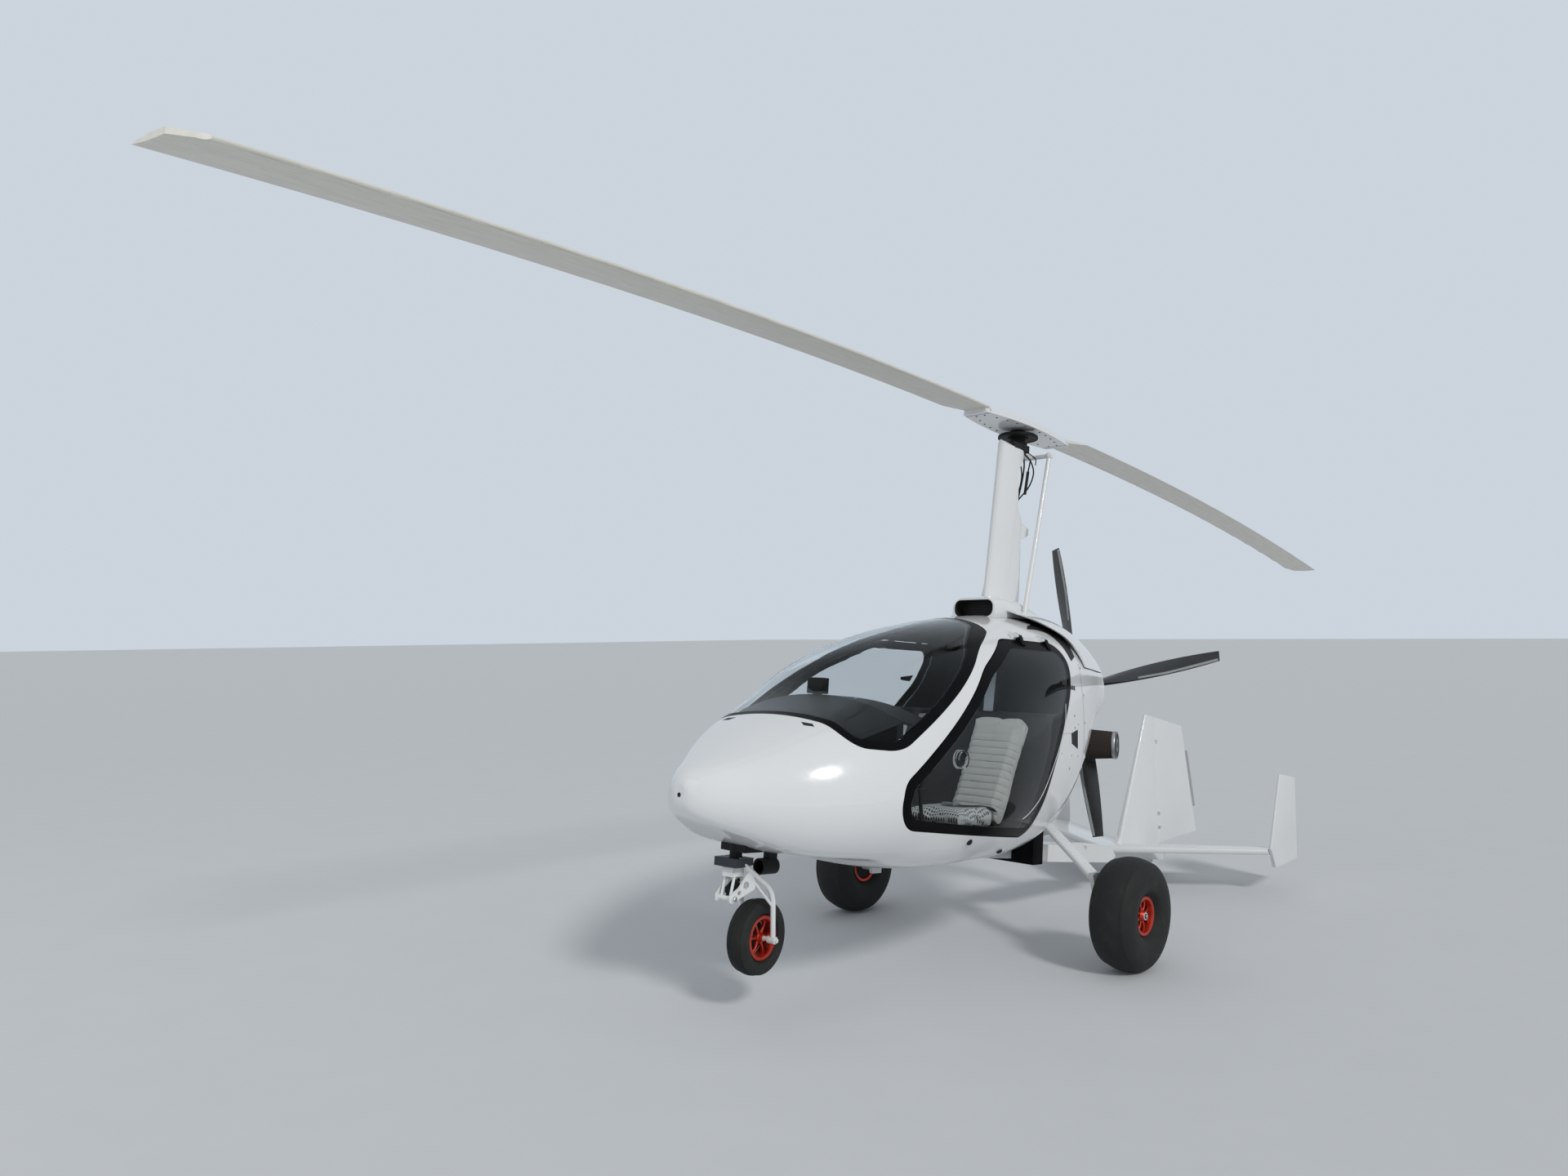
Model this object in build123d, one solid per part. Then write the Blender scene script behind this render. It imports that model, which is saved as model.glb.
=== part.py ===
from build123d import *
from math import atan2, cos, degrees, radians, sin, tan
import os

# Two-seat enclosed gyrocopter, parked on its main wheels and its small tail wheel.
# Lengths are millimetres, angles are degrees. Everything is first built in the airframe's own
# level frame: +X is port, +Y is aft, +Z is up, and the origin is on the ground under the axle of
# the main wheels, as if all three wheels stood on it. settle() then tips the airframe back onto
# its tail wheel and moves it, so that the finished model has its origin under the rotor hub.
os.makedirs("parts", exist_ok=True)

# How it stands
NOSE_UP = 5.9  # attitude on the tail wheel
HUB_Y = 201.0  # rotor hub, behind the main axle
HUB_Z = 2743.0

# Main wheels
MAIN_R = 259.0
MAIN_TYRE_W = 210.0
MAIN_TRACK = 1672.0
MAIN_RIM_R = 90.0
MAIN_RIM_W = 150.0
MAIN_AXLE_R = 12.0
RIM_FLANGE = 7.0
RIM_SEAT = 12.0  # depth of a tyre's seat below the rim's edge

# Nose wheel and its trailing fork
NOSE_WHEEL_Y = -1592.0
NOSE_R = 155.0
NOSE_TYRE_W = 98.0
NOSE_RIM_R = 92.0
NOSE_RIM_W = 74.0
NOSE_AXLE_R = 9.0
NOSE_STEER = 7.6  # turned to port, as it stands
STEER_Y = -1765.0
STEER_HEAD_Z = 492.0
FORK_HALF = 86.0  # from the middle of the wheel to a fork tube, at the axle
FORK_TUBE_R = 11.0
FORK_PLATE_T = 7.5
FORK_ROUTE = [(-1800.0, 484.0), (-1607.0, 352.0), (NOSE_WHEEL_Y, NOSE_R)]
FORK_BEND = 110.0
FORK_BRACE = [(-1732.0, 412.0), (-1606.0, 291.0)]
PIVOT_Y = -1813.0
PIVOT_Z = 333.0
PIVOT_HALF = 38.0  # from the middle to a side plate, at the pivot
PIVOT_R = 9.0
# Outline of a side plate: y, z, corner radius
PLATE_OUTLINE = [
    (-1836.0, 310.0, 12.0),
    (-1840.0, 346.0, 12.0),
    (-1794.0, 374.0, 20.0),
    (-1744.0, 441.0, 6.0),
    (-1726.0, 438.0, 6.0),
    (-1706.0, 368.0, 12.0),
]
# columns: y, z, radius
PLATE_HOLES = [(-1757.0, 384.0, 15.0), (-1790.0, 356.0, 9.0)]
CROSS_BAR = (-1728.0, 402.0)
CROSS_BAR_R = 8.0
CLAMP_HALF = 58.0
CLAMP_YS = (-1829.0, -1721.0)
CLAMP_H = 35.0
HEAD_BLOCK_HALF = 26.0
HEAD_BLOCK_YS = (-1812.0, -1738.0)
HEAD_BLOCK_LOW_Z = 416.0
SHOCK = [(-1798.0, 352.0), (-1748.0, 388.0)]
SHOCK_R = 17.0
DUCT_Y = -1628.0
DUCT_Z = 445.0
DUCT_R = 34.0
DUCT_L = 90.0

# Tail wheel
TAIL_WHEEL_Y = 1800.0
TAIL_WHEEL_R = 50.0
TAIL_WHEEL_W = 32.0

# Cabin and cowl: one row for each station
# columns: y, half width, top, bottom
POD_STATIONS = [
    (-2092.0, 30.0, 782.0, 722.0),
    (-2076.0, 78.0, 818.0, 680.0),
    (-2010.0, 160.0, 862.0, 632.0),
    (-1900.0, 262.0, 915.0, 588.0),
    (-1616.0, 478.0, 1070.0, 508.0),
    (-1219.0, 601.0, 1329.0, 449.0),
    (-794.0, 641.0, 1526.0, 423.0),
    (-368.0, 592.0, 1617.0, 424.0),
    (57.0, 492.0, 1668.0, 476.0),
    (426.0, 380.0, 1655.0, 762.0),
    (766.0, 269.0, 1557.0, 1123.0),
]
POD_WAIST = 0.42  # height of the widest line, as a share of the section
SIDE_BULGE = 0.06
CORNER_SHARE = 0.7
WALL = 12.0
GLASS = 6.0
SEAM = 0.4
DOOR_GAP = 5.0
DOOR_BAND = 38.0  # width of the door's frame
SCREEN_BAND = 34.0  # width of the border round the windscreen
COWL_SPLIT_Y = 232.0

# Outlines seen from the side: rows of y, z, corner radius
WINDSCREEN_OUTLINE = [
    (-1720.0, 1120.0, 0.0),
    (-1612.0, 1110.0, 0.0),
    (-1590.0, 962.0, 85.0),
    (-1385.0, 955.0, 190.0),
    (-700.0, 1432.0, 900.0),
    (-420.0, 1556.0, 150.0),
    (-372.0, 1800.0, 0.0),
    (-1720.0, 1800.0, 0.0),
]
DOOR_OUTLINE = [
    (-470.0, 1500.0, 180.0),
    (78.0, 1518.0, 110.0),
    (52.0, 1303.0, 300.0),
    (-296.0, 868.0, 350.0),
    (-372.0, 575.0, 90.0),
    (-1425.0, 649.0, 110.0),
    (-1395.0, 835.0, 100.0),
    (-780.0, 1338.0, 600.0),
]
DOOR_HINGE_X = 389.0
DOOR_HINGE_Z = 1521.0
DOOR_HINGE_YS = (-330.0, -90.0)
HINGE_R = 7.0
HINGE_LEAN = 45.0  # slope of the skin under the hinges
ARM_HALF = 14.0
ARM_L = 50.0
BRACKET_W = 16.0
BRACKET_L = 42.0
BRACKET_SHIFT = 24.0  # from the middle of an arm to the middle of a bracket
VENT = (604.0, -1087.0, 936.0)  # middle of the round snap vent
VENT_R = 40.0

# Cowl
HOOD_RISE = (38.0, 44.0, 30.0, -2.0)
HOOD_SIDE = 3.0
HOOD_WALL = 8.0
HOOD_LOW_Z = 1420.0
HOOD_OUTLINE = [
    (-45.0, 1900.0, 0.0),
    (-45.0, 1660.0, 0.0),
    (180.0, 1560.0, 120.0),
    (330.0, 1420.0, 0.0),
    (820.0, 1420.0, 0.0),
    (820.0, 1900.0, 0.0),
]
BAY_OUTLINE = [
    (232.0, 300.0, 0.0),
    (232.0, 700.0, 0.0),
    (300.0, 760.0, 40.0),
    (690.0, 1200.0, 40.0),
    (900.0, 1230.0, 0.0),
    (900.0, 300.0, 0.0),
]
BAY_HALF = 215.0
FIREWALL_Y = 196.0
FIREWALL_T = 10.0

# Cabin fittings
FLOOR_FRONT_Y = -1700.0
FLOOR_Z = 548.0
FLOOR_T = 12.0
BENCH_HALF = 480.0
BENCH_FRONT_Y = -830.0
BENCH_BACK_Y = -110.0
BENCH_Z = 620.0
BENCH_WALL = 10.0
# Arched hood over the instruments: y, height of its crown
SHIELD_ROWS = [(-1560.0, 1058.0), (-1330.0, 1172.0), (-1130.0, 1172.0)]
SHIELD_HALF = 560.0
SHIELD_DROP = 132.0
SHIELD_T = 12.0
PANEL_Z = 800.0
PANEL_HALF = 330.0
PANEL_T = 45.0
CONSOLE_HALF = 75.0
CONSOLE_FRONT_Y = -1400.0
CONSOLE_BACK_Y = -900.0
SEAT_BACK_OUTLINE = [
    (-529.0, 620.4, 20.0),
    (-290.0, 1140.0, 38.0),
    (-205.0, 1140.0, 30.0),
    (-428.0, 620.4, 20.0),
]
CUSHION_OUTLINE = [
    (-820.0, 620.4, 10.0),
    (-850.0, 690.0, 30.0),
    (-520.0, 700.0, 15.0),
    (-545.0, 620.4, 10.0),
]
STICK_Y = -880.0
STICK_LEAN = 40.0
STICK_TOP_Z = 900.0
STICK_R = 9.0
GRIP_L = 112.0
GRIP_R = 17.0
FOOT_GAP = 2.0  # between a leaning stick's foot and the floor
PEDAL_Y = -1430.0
PEDAL_SPREAD = 55.0

# Mast and rotor head
MAST_LEAN = 5.5
MAST_FOOT_Y = 91.0
MAST_FOOT_Z = 1620.0
MAST_TOP_Y = 137.0
MAST_TOP_Z = 2605.0
MAST_CHORD_FOOT = 330.0
MAST_CHORD_TOP = 208.0
MAST_THICK = 105.0
MAST_TUBE = 60.0
MAST_NOTCH_OUTLINE = [
    (280.0, 2578.0, 0.0),
    (225.0, 2572.0, 8.0),
    (140.0, 2476.0, 60.0),
    (152.0, 2262.0, 60.0),
    (222.0, 2208.0, 20.0),
    (380.0, 2208.0, 0.0),
    (380.0, 2578.0, 0.0),
]
MAST_BUMP_OUTLINE = [
    (160.0, 2236.0, 0.0),
    (222.0, 2208.0, 8.0),
    (300.0, 2178.0, 16.0),
    (300.0, 2142.0, 15.0),
    (244.0, 2112.0, 10.0),
    (160.0, 2080.0, 0.0),
]
RING_GEAR_Z = 2672.0
TORQUE_BAR_Y = 338.0
TORQUE_BAR_Z = 2590.0
TORQUE_BAR_HALF = 118.0
TORQUE_BAR_R = 11.0
ROD_FOOT_X = 142.0
ROD_FOOT_Y = 90.0
ROD_FOOT_Z = 1600.0
ROD_R = 13.0

# Hump at the mast's foot: one row for each station
# columns: y, half width, top
PEDESTAL_STATIONS = [
    (-158.0, 130.0, 1741.0),
    (-20.0, 128.0, 1764.0),
    (160.0, 114.0, 1752.0),
    (340.0, 90.0, 1716.0),
    (500.0, 50.0, 1672.0),
]
PEDESTAL_BOTTOM_Z = 1600.0
PEDESTAL_ROUND = 0.42  # corner radius, as a share of the smaller side
INLET_W = 236.0
INLET_H = 88.0
INLET_Z = 1687.0
INLET_DEPTH = 78.0

# Rotor
ROTOR_R = 4387.0
ROTOR_CHORD = 200.0
BLADE_THICK = 23.0
BLADE_ROOT_R = 402.0
BLADE_DROOP = 207.0
BLADE_AHEAD = 80.0  # leading edge ahead of the feathering line
HUB_BAR_W = 84.0
HUB_BAR_T = 24.0
FAIRING_HALF = 425.0
FAIRING_W = 236.0
FAIRING_H = 82.0
FAIRING_BELOW = 30.0
FAIRING_WALL = 0.45  # height of its upright sides, as a share
FAIRING_TAPER = 0.95
# columns: place along the fairing, width, height, as shares
FAIRING_SECTIONS = [
    (-1.0, 0.60, 0.64),
    (-0.7, 0.81, 0.78),
    (-0.35, 0.95, 0.94),
    (0.0, 1.0, 1.0),
    (0.35, 0.95, 0.94),
    (0.7, 0.81, 0.78),
    (1.0, 0.60, 0.64),
]
RING_GEAR_R = 108.0

# Propeller
PROP_Y = 931.0
PROP_Z = 1341.0
PROP_TURN = -13.0  # first blade, from up towards port
PROP_BLADES = 4
PROP_TILT = 3.1  # axis, nose up
PROP_HUB_R = 62.0
PROP_HUB_L = 70.0
# columns: radius, chord, thickness, pitch
PROP_STATIONS = [
    (96.0, 52.0, 30.0, 52.0),
    (250.0, 84.0, 18.0, 38.0),
    (560.0, 96.0, 11.0, 24.0),
    (862.0, 60.0, 6.0, 17.0),
]

# Engine and what it stands on
ENGINE_W = 330.0
ENGINE_H = 330.0
ENGINE_FRONT_Y = 262.0
ENGINE_BACK_Y = 770.0
ENGINE_Z = 1265.0
CYLINDER_OUT = 258.0
CYLINDER_YS = (350.0, 500.0)
FILTER_BASE = (190.0, 742.0, 1018.0)
FILTER_CAP = (330.0, 790.0, 1022.0)
FILTER_R = 80.0
FILTER_TIP_R = 70.0
FILTER_CAP_R = 73.0
FILTER_CAP_T = 12.0
FILTER_DUCT_R = 26.0
FILTER_DUCT_END = (105.0, 640.0, 1120.0)

# Keel and tail
KEEL_HALF = 40.0
KEEL_H = 70.0
KEEL_FRONT_Y = -140.0
KEEL_FRONT_Z = 448.0
KEEL_BACK_Y = 2050.0
KEEL_BACK_Z = 335.0
BOOM_HALF = 92.0
BOOM_FRONT_Y = 520.0
BOOM_BACK_Y = 1300.0
BOOM_H = 92.0
STAB_HALF = 779.0
STAB_ROOT_LE = 1270.0
STAB_ROOT_TE = 1800.0
STAB_TIP_LE = 1872.0
STAB_TIP_TE = 2298.0
STAB_ROOT_Z = 394.0
STAB_TIP_Z = 450.0
STAB_THICK = 54.0
STAB_TIP_SHARE = 0.8
FIN_THICK = 52.0
FIN_TIP_SHARE = 0.45
FIN_LOW_Z = 360.0
FIN_HIGH_Z = 1228.0
FIN_LE_FOOT = (1497.0, 422.0)
FIN_LE_TOP = (1814.0, 1220.0)
HINGE_FOOT = (2022.0, 404.0)
HINGE_TOP = (1931.0, 1208.0)
RUDDER_TOP = (2361.0, 1167.0)
RUDDER_FOOT = (2631.0, 461.0)
RUDDER_GAP = 6.0
RUDDER_LOW_Z = 404.0
RUDDER_HINGE_ZS = (500.0, 590.0, 1050.0)
TAB_ZS = (630.0, 1005.0)
TAB_W = 42.0
WINGLET = [(1998.0, 906.0), (2258.0, 887.0), (2315.0, 397.0), (1938.0, 358.0), (1870.0, 466.0)]
WINGLET_THICK = 22.0

# Main gear legs
LEG_INNER = (150.0, 262.0, 657.0)
LEG_OUTER = (690.0, -54.0, 395.0)
LEG_CHORD = 84.0
LEG_THICK = 26.0
AXLE_PLATE_X = 672.0
SOCKET_HALF = 172.0
SOCKET_FRONT_Y = 234.0
SOCKET_BACK_Y = 330.0
SOCKET_BOTTOM_Z = 376.0
SOCKET_TOP_Z = 705.0

# Seats
SEAT_X = 276.0
SEAT_W = 300.0


def settle(shape):
    """From the level frame to the frame of the parked aircraft"""
    tipped = Rot(-NOSE_UP, 0, 0) * Pos(0, 0, -MAIN_R) * shape
    return Pos(0, -hub_offset(), MAIN_R) * tipped


def hub_offset():
    """How far behind the main axle the hub stands once the airframe is tipped back"""
    a = radians(-NOSE_UP)
    return HUB_Y * cos(a) - (HUB_Z - MAIN_R) * sin(a)


def save(name, shape):
    """Write one piece as a STEP file in the parked frame"""
    export_step(settle(shape), f"parts/{name}.step")


def side_plane(x):
    return Plane(origin=(x, 0, 0), x_dir=(0, 1, 0), z_dir=(1, 0, 0))


def station_plane(y):
    return Plane(origin=(0, y, 0), x_dir=(1, 0, 0), z_dir=(0, -1, 0))


def outline_face(rows):
    """A closed outline of (y, z, corner radius) rows, seen from the side"""
    points = [(row[0], row[1]) for row in rows]
    radii = [row[2] for row in rows]
    return make_face(FilletPolyline(*points, radius=radii, close=True))


def side_prism(face, x0, x1):
    """A side-view face pushed from x0 to x1"""
    return extrude(side_plane(x0) * face, x1 - x0)


def side_plate(points, x0, x1):
    return side_prism(make_face(Polyline(*points, close=True)), x0, x1)


def block(x0, x1, y0, y1, z0, z1):
    return Pos((x0 + x1) / 2, (y0 + y1) / 2, (z0 + z1) / 2) * Box(x1 - x0, y1 - y0, z1 - z0)


def rod(start, end, radius):
    """A round bar between two points"""
    a, b = Vector(start), Vector(end)
    return extrude(Plane(origin=a, z_dir=b - a) * Circle(radius), (b - a).length)


def bar_x(x0, x1, y, z, radius):
    """A round bar across the aircraft"""
    return rod((x0, y, z), (x1, y, z), radius)


def mirrored(shape):
    return mirror(shape, about=Plane.YZ)


# The pod's cross-section is an oval of ten arcs: crown, belly, four corners and four side arcs
def quarter(w, h):
    """Points from the side to the crown: middle of the side arc, joint, middle of the corner, joint"""
    corner_r = CORNER_SHARE * min(w, h)
    cx = w - corner_r - SIDE_BULGE * w
    cz = h - corner_r - SIDE_BULGE * h
    side_r = ((w - cx) ** 2 + cz**2 - corner_r**2) / (2 * SIDE_BULGE * w)
    crown_r = ((h - cz) ** 2 + cx**2 - corner_r**2) / (2 * SIDE_BULGE * h)
    side_angle = atan2(cz, cx - (w - side_r))
    crown_angle = atan2(cz - (h - crown_r), cx)
    middle = (side_angle + crown_angle) / 2
    return [
        (w - side_r + side_r * cos(side_angle / 2), side_r * sin(side_angle / 2)),
        (cx + corner_r * cos(side_angle), cz + corner_r * sin(side_angle)),
        (cx + corner_r * cos(middle), cz + corner_r * sin(middle)),
        (cx + corner_r * cos(crown_angle), cz + corner_r * sin(crown_angle)),
    ]


def oval(w, top, bottom):
    """The pod's cross-section as a face, in its station's plane"""
    waist = bottom + POD_WAIST * (top - bottom)
    up = [(x, waist + z) for x, z in quarter(w, top - waist)]
    down = [(x, waist - z) for x, z in quarter(w, waist - bottom)]
    ring = [(w, waist)] + up + [(0.0, top)]
    ring += [(-x, z) for x, z in reversed(up)] + [(-w, waist)]
    ring += [(-x, z) for x, z in down] + [(0.0, bottom)] + list(reversed(down))
    edges = []
    for i in range(0, len(ring), 2):
        edges.append(ThreePointArc(ring[i], ring[i + 1], ring[(i + 2) % len(ring)]))
    return make_face(edges)


def pod(inset):
    """A solid pod, its skin moved in by inset"""
    sections = []
    for y, w, top, bottom in POD_STATIONS:
        sections.append(station_plane(y) * oval(w - inset, top - inset, bottom + inset))
    return loft(sections)


def pod_shell(thick):
    """The pod's skin, thick deep, closed at the nose and open at the rear"""
    nose_y = POD_STATIONS[0][0]
    tip = block(-200.0, 200.0, nose_y - 10.0, nose_y + thick, 600.0, 900.0)
    return pod(0.0) - (pod(thick) - tip)


def foil(chord, thick, back):
    """A symmetric fin section: the chord runs along X from the nose at 0, thickness along Y"""
    nose = 0.3 * thick
    side = (0.42 * chord, thick / 2)
    upper = ThreePointArc((nose, 0.78 * thick / 2), side, (chord, back / 2))
    end = Line((chord, back / 2), (chord, -back / 2))
    lower = ThreePointArc((chord, -back / 2), (side[0], -side[1]), (nose, -0.78 * thick / 2))
    tip = ThreePointArc((nose, -0.78 * thick / 2), (0, 0), (nose, 0.78 * thick / 2))
    return make_face([upper, end, lower, tip])


def level_section(x, y, z, face):
    """Places a section flat at height z: its chord runs aft from y"""
    return Plane(origin=(x, y, z), x_dir=(0, 1, 0), z_dir=(0, 0, 1)) * face


def line_at(z, foot, top):
    """Where a slanted edge between two (y, z) points lies at height z"""
    return foot[0] + (z - foot[1]) * (top[0] - foot[0]) / (top[1] - foot[1])


# Cabin
def door_face(inset):
    face = outline_face(DOOR_OUTLINE)
    return offset(face, -inset) if inset else face


def door_prism(inset):
    return side_prism(door_face(inset), 250.0, 900.0)


def windscreen_prism(inset):
    face = outline_face(WINDSCREEN_OUTLINE)
    if inset:
        face = offset(face, -inset)
    return side_prism(face, -900.0, 900.0)


def keel(extra=0.0):
    """The keel tube; it runs down towards the tail"""
    points = []
    half = KEEL_H / 2 + extra
    for y, side in ((KEEL_FRONT_Y, 1), (KEEL_BACK_Y, 1), (KEEL_BACK_Y, -1), (KEEL_FRONT_Y, -1)):
        points.append((y, keel_z(y) + side * half))
    return side_plate(points, -KEEL_HALF - extra, KEEL_HALF + extra)


def keel_z(y):
    """Height of the middle of the keel"""
    return KEEL_FRONT_Z + (y - KEEL_FRONT_Y) * (KEEL_BACK_Z - KEEL_FRONT_Z) / (KEEL_BACK_Y - KEEL_FRONT_Y)


def gear_leg(extra=0.0):
    """Port leg: a flat composite spring from its socket to the axle plate"""
    a, b = Vector(*LEG_INNER), Vector(*LEG_OUTER)
    plane = Plane(origin=a, x_dir=(0, 1, 0), z_dir=b - a)
    face = RectangleRounded(LEG_CHORD + 2 * extra, LEG_THICK + 2 * extra, 0.45 * LEG_THICK)
    leg = extrude(plane * face, (b - a).length + LEG_CHORD)
    return leg - block(AXLE_PLATE_X - extra, 1200.0, -600.0, 600.0, 0.0, 1200.0)


def mast_blade(extra=0.0):
    """The mast's streamlined cover from below the roof to the rotor head"""
    foot = Pos(0, MAST_FOOT_Y, MAST_FOOT_Z) * Ellipse(MAST_THICK / 2 + extra, MAST_CHORD_FOOT / 2 + extra)
    top = Pos(0, MAST_TOP_Y, MAST_TOP_Z) * Ellipse(MAST_THICK / 2 + extra, MAST_CHORD_TOP / 2 + extra)
    return loft([foot, top])


def pedestal_body():
    """The hump at the mast's foot: rows of y, half width, top"""
    sections = []
    for y, half, top in PEDESTAL_STATIONS:
        height = top - PEDESTAL_BOTTOM_Z
        face = RectangleRounded(2 * half, height, min(2 * half, height) * PEDESTAL_ROUND)
        sections.append(station_plane(y) * Pos(0, PEDESTAL_BOTTOM_Z + height / 2) * face)
    return loft(sections)


def hood_form(inset):
    """The outside of the cowl's raised rear part, moved in by inset"""
    sections = []
    for (y, w, top, bottom), rise in zip(POD_STATIONS[-4:], HOOD_RISE):
        sections.append(station_plane(y) * oval(w + HOOD_SIDE - inset, top + rise - inset, bottom + inset))
    return loft(sections)


def hood():
    """The raised lip of the cowl over both shoulders, with a cooling inlet under its front edge"""
    skin = hood_form(0.0) - hood_form(HOOD_WALL)
    return skin & side_prism(outline_face(HOOD_OUTLINE), -600.0, 600.0)


def make_cabin():
    skin = pod_shell(WALL)
    glass_skin = pod_shell(GLASS)
    mast = mast_blade(SEAM)
    leg = gear_leg(SEAM * 2)
    legs = leg + mirrored(leg)
    door = door_prism(0.0)
    rear = block(-900.0, 900.0, COWL_SPLIT_Y, 900.0, 0.0, 2000.0)
    screen = windscreen_prism(0.0)
    cabin = skin - [rear, screen, door, mirrored(door), mast, leg, mirrored(leg), keel(SEAM)]
    save("cabin_shell", cabin)
    border = windscreen_prism(SEAM) - windscreen_prism(SEAM + SCREEN_BAND)
    save("windscreen_border", skin & border)
    save("windscreen", glass_skin & windscreen_prism(SEAM + SCREEN_BAND + SEAM))
    surface = pod(-SEAM)
    make_doors(skin, glass_skin, surface)
    make_cowl(skin, surface, mast, legs)
    make_fittings(mast, legs)


def make_doors(skin, glass_skin, surface):
    """Both doors: frame with its hinge arms, pane and round vent; and the brackets on the roof"""
    ring = door_prism(DOOR_GAP) - door_prism(DOOR_GAP + DOOR_BAND)
    arms, brackets = door_hinges()
    pane = glass_skin & door_prism(DOOR_GAP + DOOR_BAND + SEAM)
    vent = bar_x(VENT[0] - 12.0, VENT[0] + 16.0, VENT[1], VENT[2], VENT_R)
    pane = pane - bar_x(500.0, 700.0, VENT[1], VENT[2], VENT_R + SEAM)
    vent = vent - bar_x(VENT[0], VENT[0] + 20.0, VENT[1], VENT[2], VENT_R - 8.0)
    frame = Compound([*(skin & ring).solids(), *(arms - surface).solids()])
    for name, shape in (("frame", frame), ("pane", pane), ("vent", vent)):
        save(f"door_{name}_port", shape)
        save(f"door_{name}_starboard", mirrored(shape))
    brackets = brackets - surface
    save("door_hinge_brackets", brackets + mirrored(brackets))


def make_cowl(skin, surface, mast, legs):
    """The rear of the pod with its raised lip, and the hump at the mast's foot"""
    cowl = skin & block(-900.0, 900.0, COWL_SPLIT_Y + SEAM, 900.0, 0.0, 2000.0)
    bay = side_prism(outline_face(BAY_OUTLINE), -BAY_HALF, BAY_HALF)
    cowl = cowl - bay
    cowl = cowl + (hood() - block(-900.0, 900.0, -2300.0, 900.0, 0.0, HOOD_LOW_Z))
    base = pedestal_body()
    save("engine_cowl", cowl - base - mast - legs)
    base = base - surface - mast
    inlet = RectangleRounded(INLET_W, INLET_H, INLET_H * PEDESTAL_ROUND)
    mouth = station_plane(PEDESTAL_STATIONS[0][0] + INLET_DEPTH) * Pos(0, INLET_Z) * inlet
    save("mast_pedestal", base - extrude(mouth, INLET_DEPTH + 20.0))


def make_fittings(mast, legs):
    """Firewall, floor, seat bench and instruments"""
    inside = pod(WALL + SEAM)
    wall = inside & block(-900.0, 900.0, FIREWALL_Y, FIREWALL_Y + FIREWALL_T, 0.0, 2000.0)
    save("firewall", wall - legs - keel(SEAM) - mast)
    floor_top = FLOOR_Z + FLOOR_T
    floor = block(-700.0, 700.0, FLOOR_FRONT_Y, FIREWALL_Y - SEAM, FLOOR_Z, floor_top) & inside
    tube = mast_tube(SEAM)
    save("cabin_floor", floor - tube - legs)
    bench = hollow_box(BENCH_HALF, BENCH_FRONT_Y, BENCH_BACK_Y, floor_top, BENCH_Z)
    save("seat_bench", (bench & inside) - tube)
    console = hollow_box(CONSOLE_HALF, CONSOLE_FRONT_Y, CONSOLE_BACK_Y, floor_top, PANEL_Z + PANEL_T)
    shield = loft([shield_section(y, top) for y, top in SHIELD_ROWS], ruled=True) & pod(WALL + 6.0)
    save("instrument_panel", shield + instrument_board() + console)


def hollow_box(half, y0, y1, low, top):
    """A box without a bottom, its walls one sheet thick"""
    wall = BENCH_WALL
    room = block(-half + wall, half - wall, y0 + wall, y1 - wall, low - wall, top - wall)
    return block(-half, half, y0, y1, low, top) - room


def shield_section(y, top):
    """The arched hood over the instruments, cut across at y"""
    outer = (SHIELD_HALF, top - SHIELD_DROP)
    inner = (SHIELD_HALF, top - SHIELD_DROP - SHIELD_T)
    face = make_face([
        ThreePointArc((-outer[0], outer[1]), (0, top), outer),
        Line(outer, inner),
        ThreePointArc(inner, (0, top - SHIELD_T), (-inner[0], inner[1])),
        Line((-inner[0], inner[1]), (-outer[0], outer[1])),
    ])
    return station_plane(y) * face


def instrument_board():
    """The board under the rear of the arched hood"""
    y, top = SHIELD_ROWS[-1]
    crown = top - SHIELD_T / 2
    side = crown - SHIELD_DROP * (PANEL_HALF / SHIELD_HALF) ** 2
    face = make_face([
        Line((-PANEL_HALF, PANEL_Z), (PANEL_HALF, PANEL_Z)),
        Line((PANEL_HALF, PANEL_Z), (PANEL_HALF, side)),
        ThreePointArc((PANEL_HALF, side), (0, crown), (-PANEL_HALF, side)),
        Line((-PANEL_HALF, side), (-PANEL_HALF, PANEL_Z)),
    ])
    return extrude(station_plane(y) * face, PANEL_T)


def hinge_leaf(y, half, rows):
    """A leaf of a hinge: rows of (distance down the skin, height over the pin line)"""
    lean = radians(HINGE_LEAN)
    down = (cos(lean), 0, -sin(lean))
    plane = Plane(origin=(DOOR_HINGE_X, y + half, DOOR_HINGE_Z), x_dir=down, z_dir=(0, -1, 0))
    return extrude(plane * make_face(Polyline(*rows, close=True)), 2 * half)


def door_hinges():
    """Port door: the arms on the door and the brackets on the roof, round one pin line"""
    arms, brackets = None, None
    for y in DOOR_HINGE_YS:
        arm = bar_y(DOOR_HINGE_X, DOOR_HINGE_Z, y - ARM_HALF, y + ARM_HALF, HINGE_R)
        arm += hinge_leaf(y, ARM_HALF, [(0, 6.0), (0, -22.0), (ARM_L, -22.0), (ARM_L, -8.0)])
        arms = arm if arms is None else arms + arm
        for near in (y - BRACKET_SHIFT, y + BRACKET_SHIFT):
            half = BRACKET_W / 2
            piece = bar_y(DOOR_HINGE_X, DOOR_HINGE_Z, near - half, near + half, HINGE_R)
            piece += hinge_leaf(near, half, [(0, 6.0), (0, -22.0), (-BRACKET_L, -22.0), (-BRACKET_L, -8.0)])
            brackets = piece if brackets is None else brackets + piece
    return arms, brackets


def bar_y(x, z, y0, y1, radius):
    """A round bar along the aircraft"""
    return rod((x, y0, z), (x, y1, z), radius)


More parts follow.
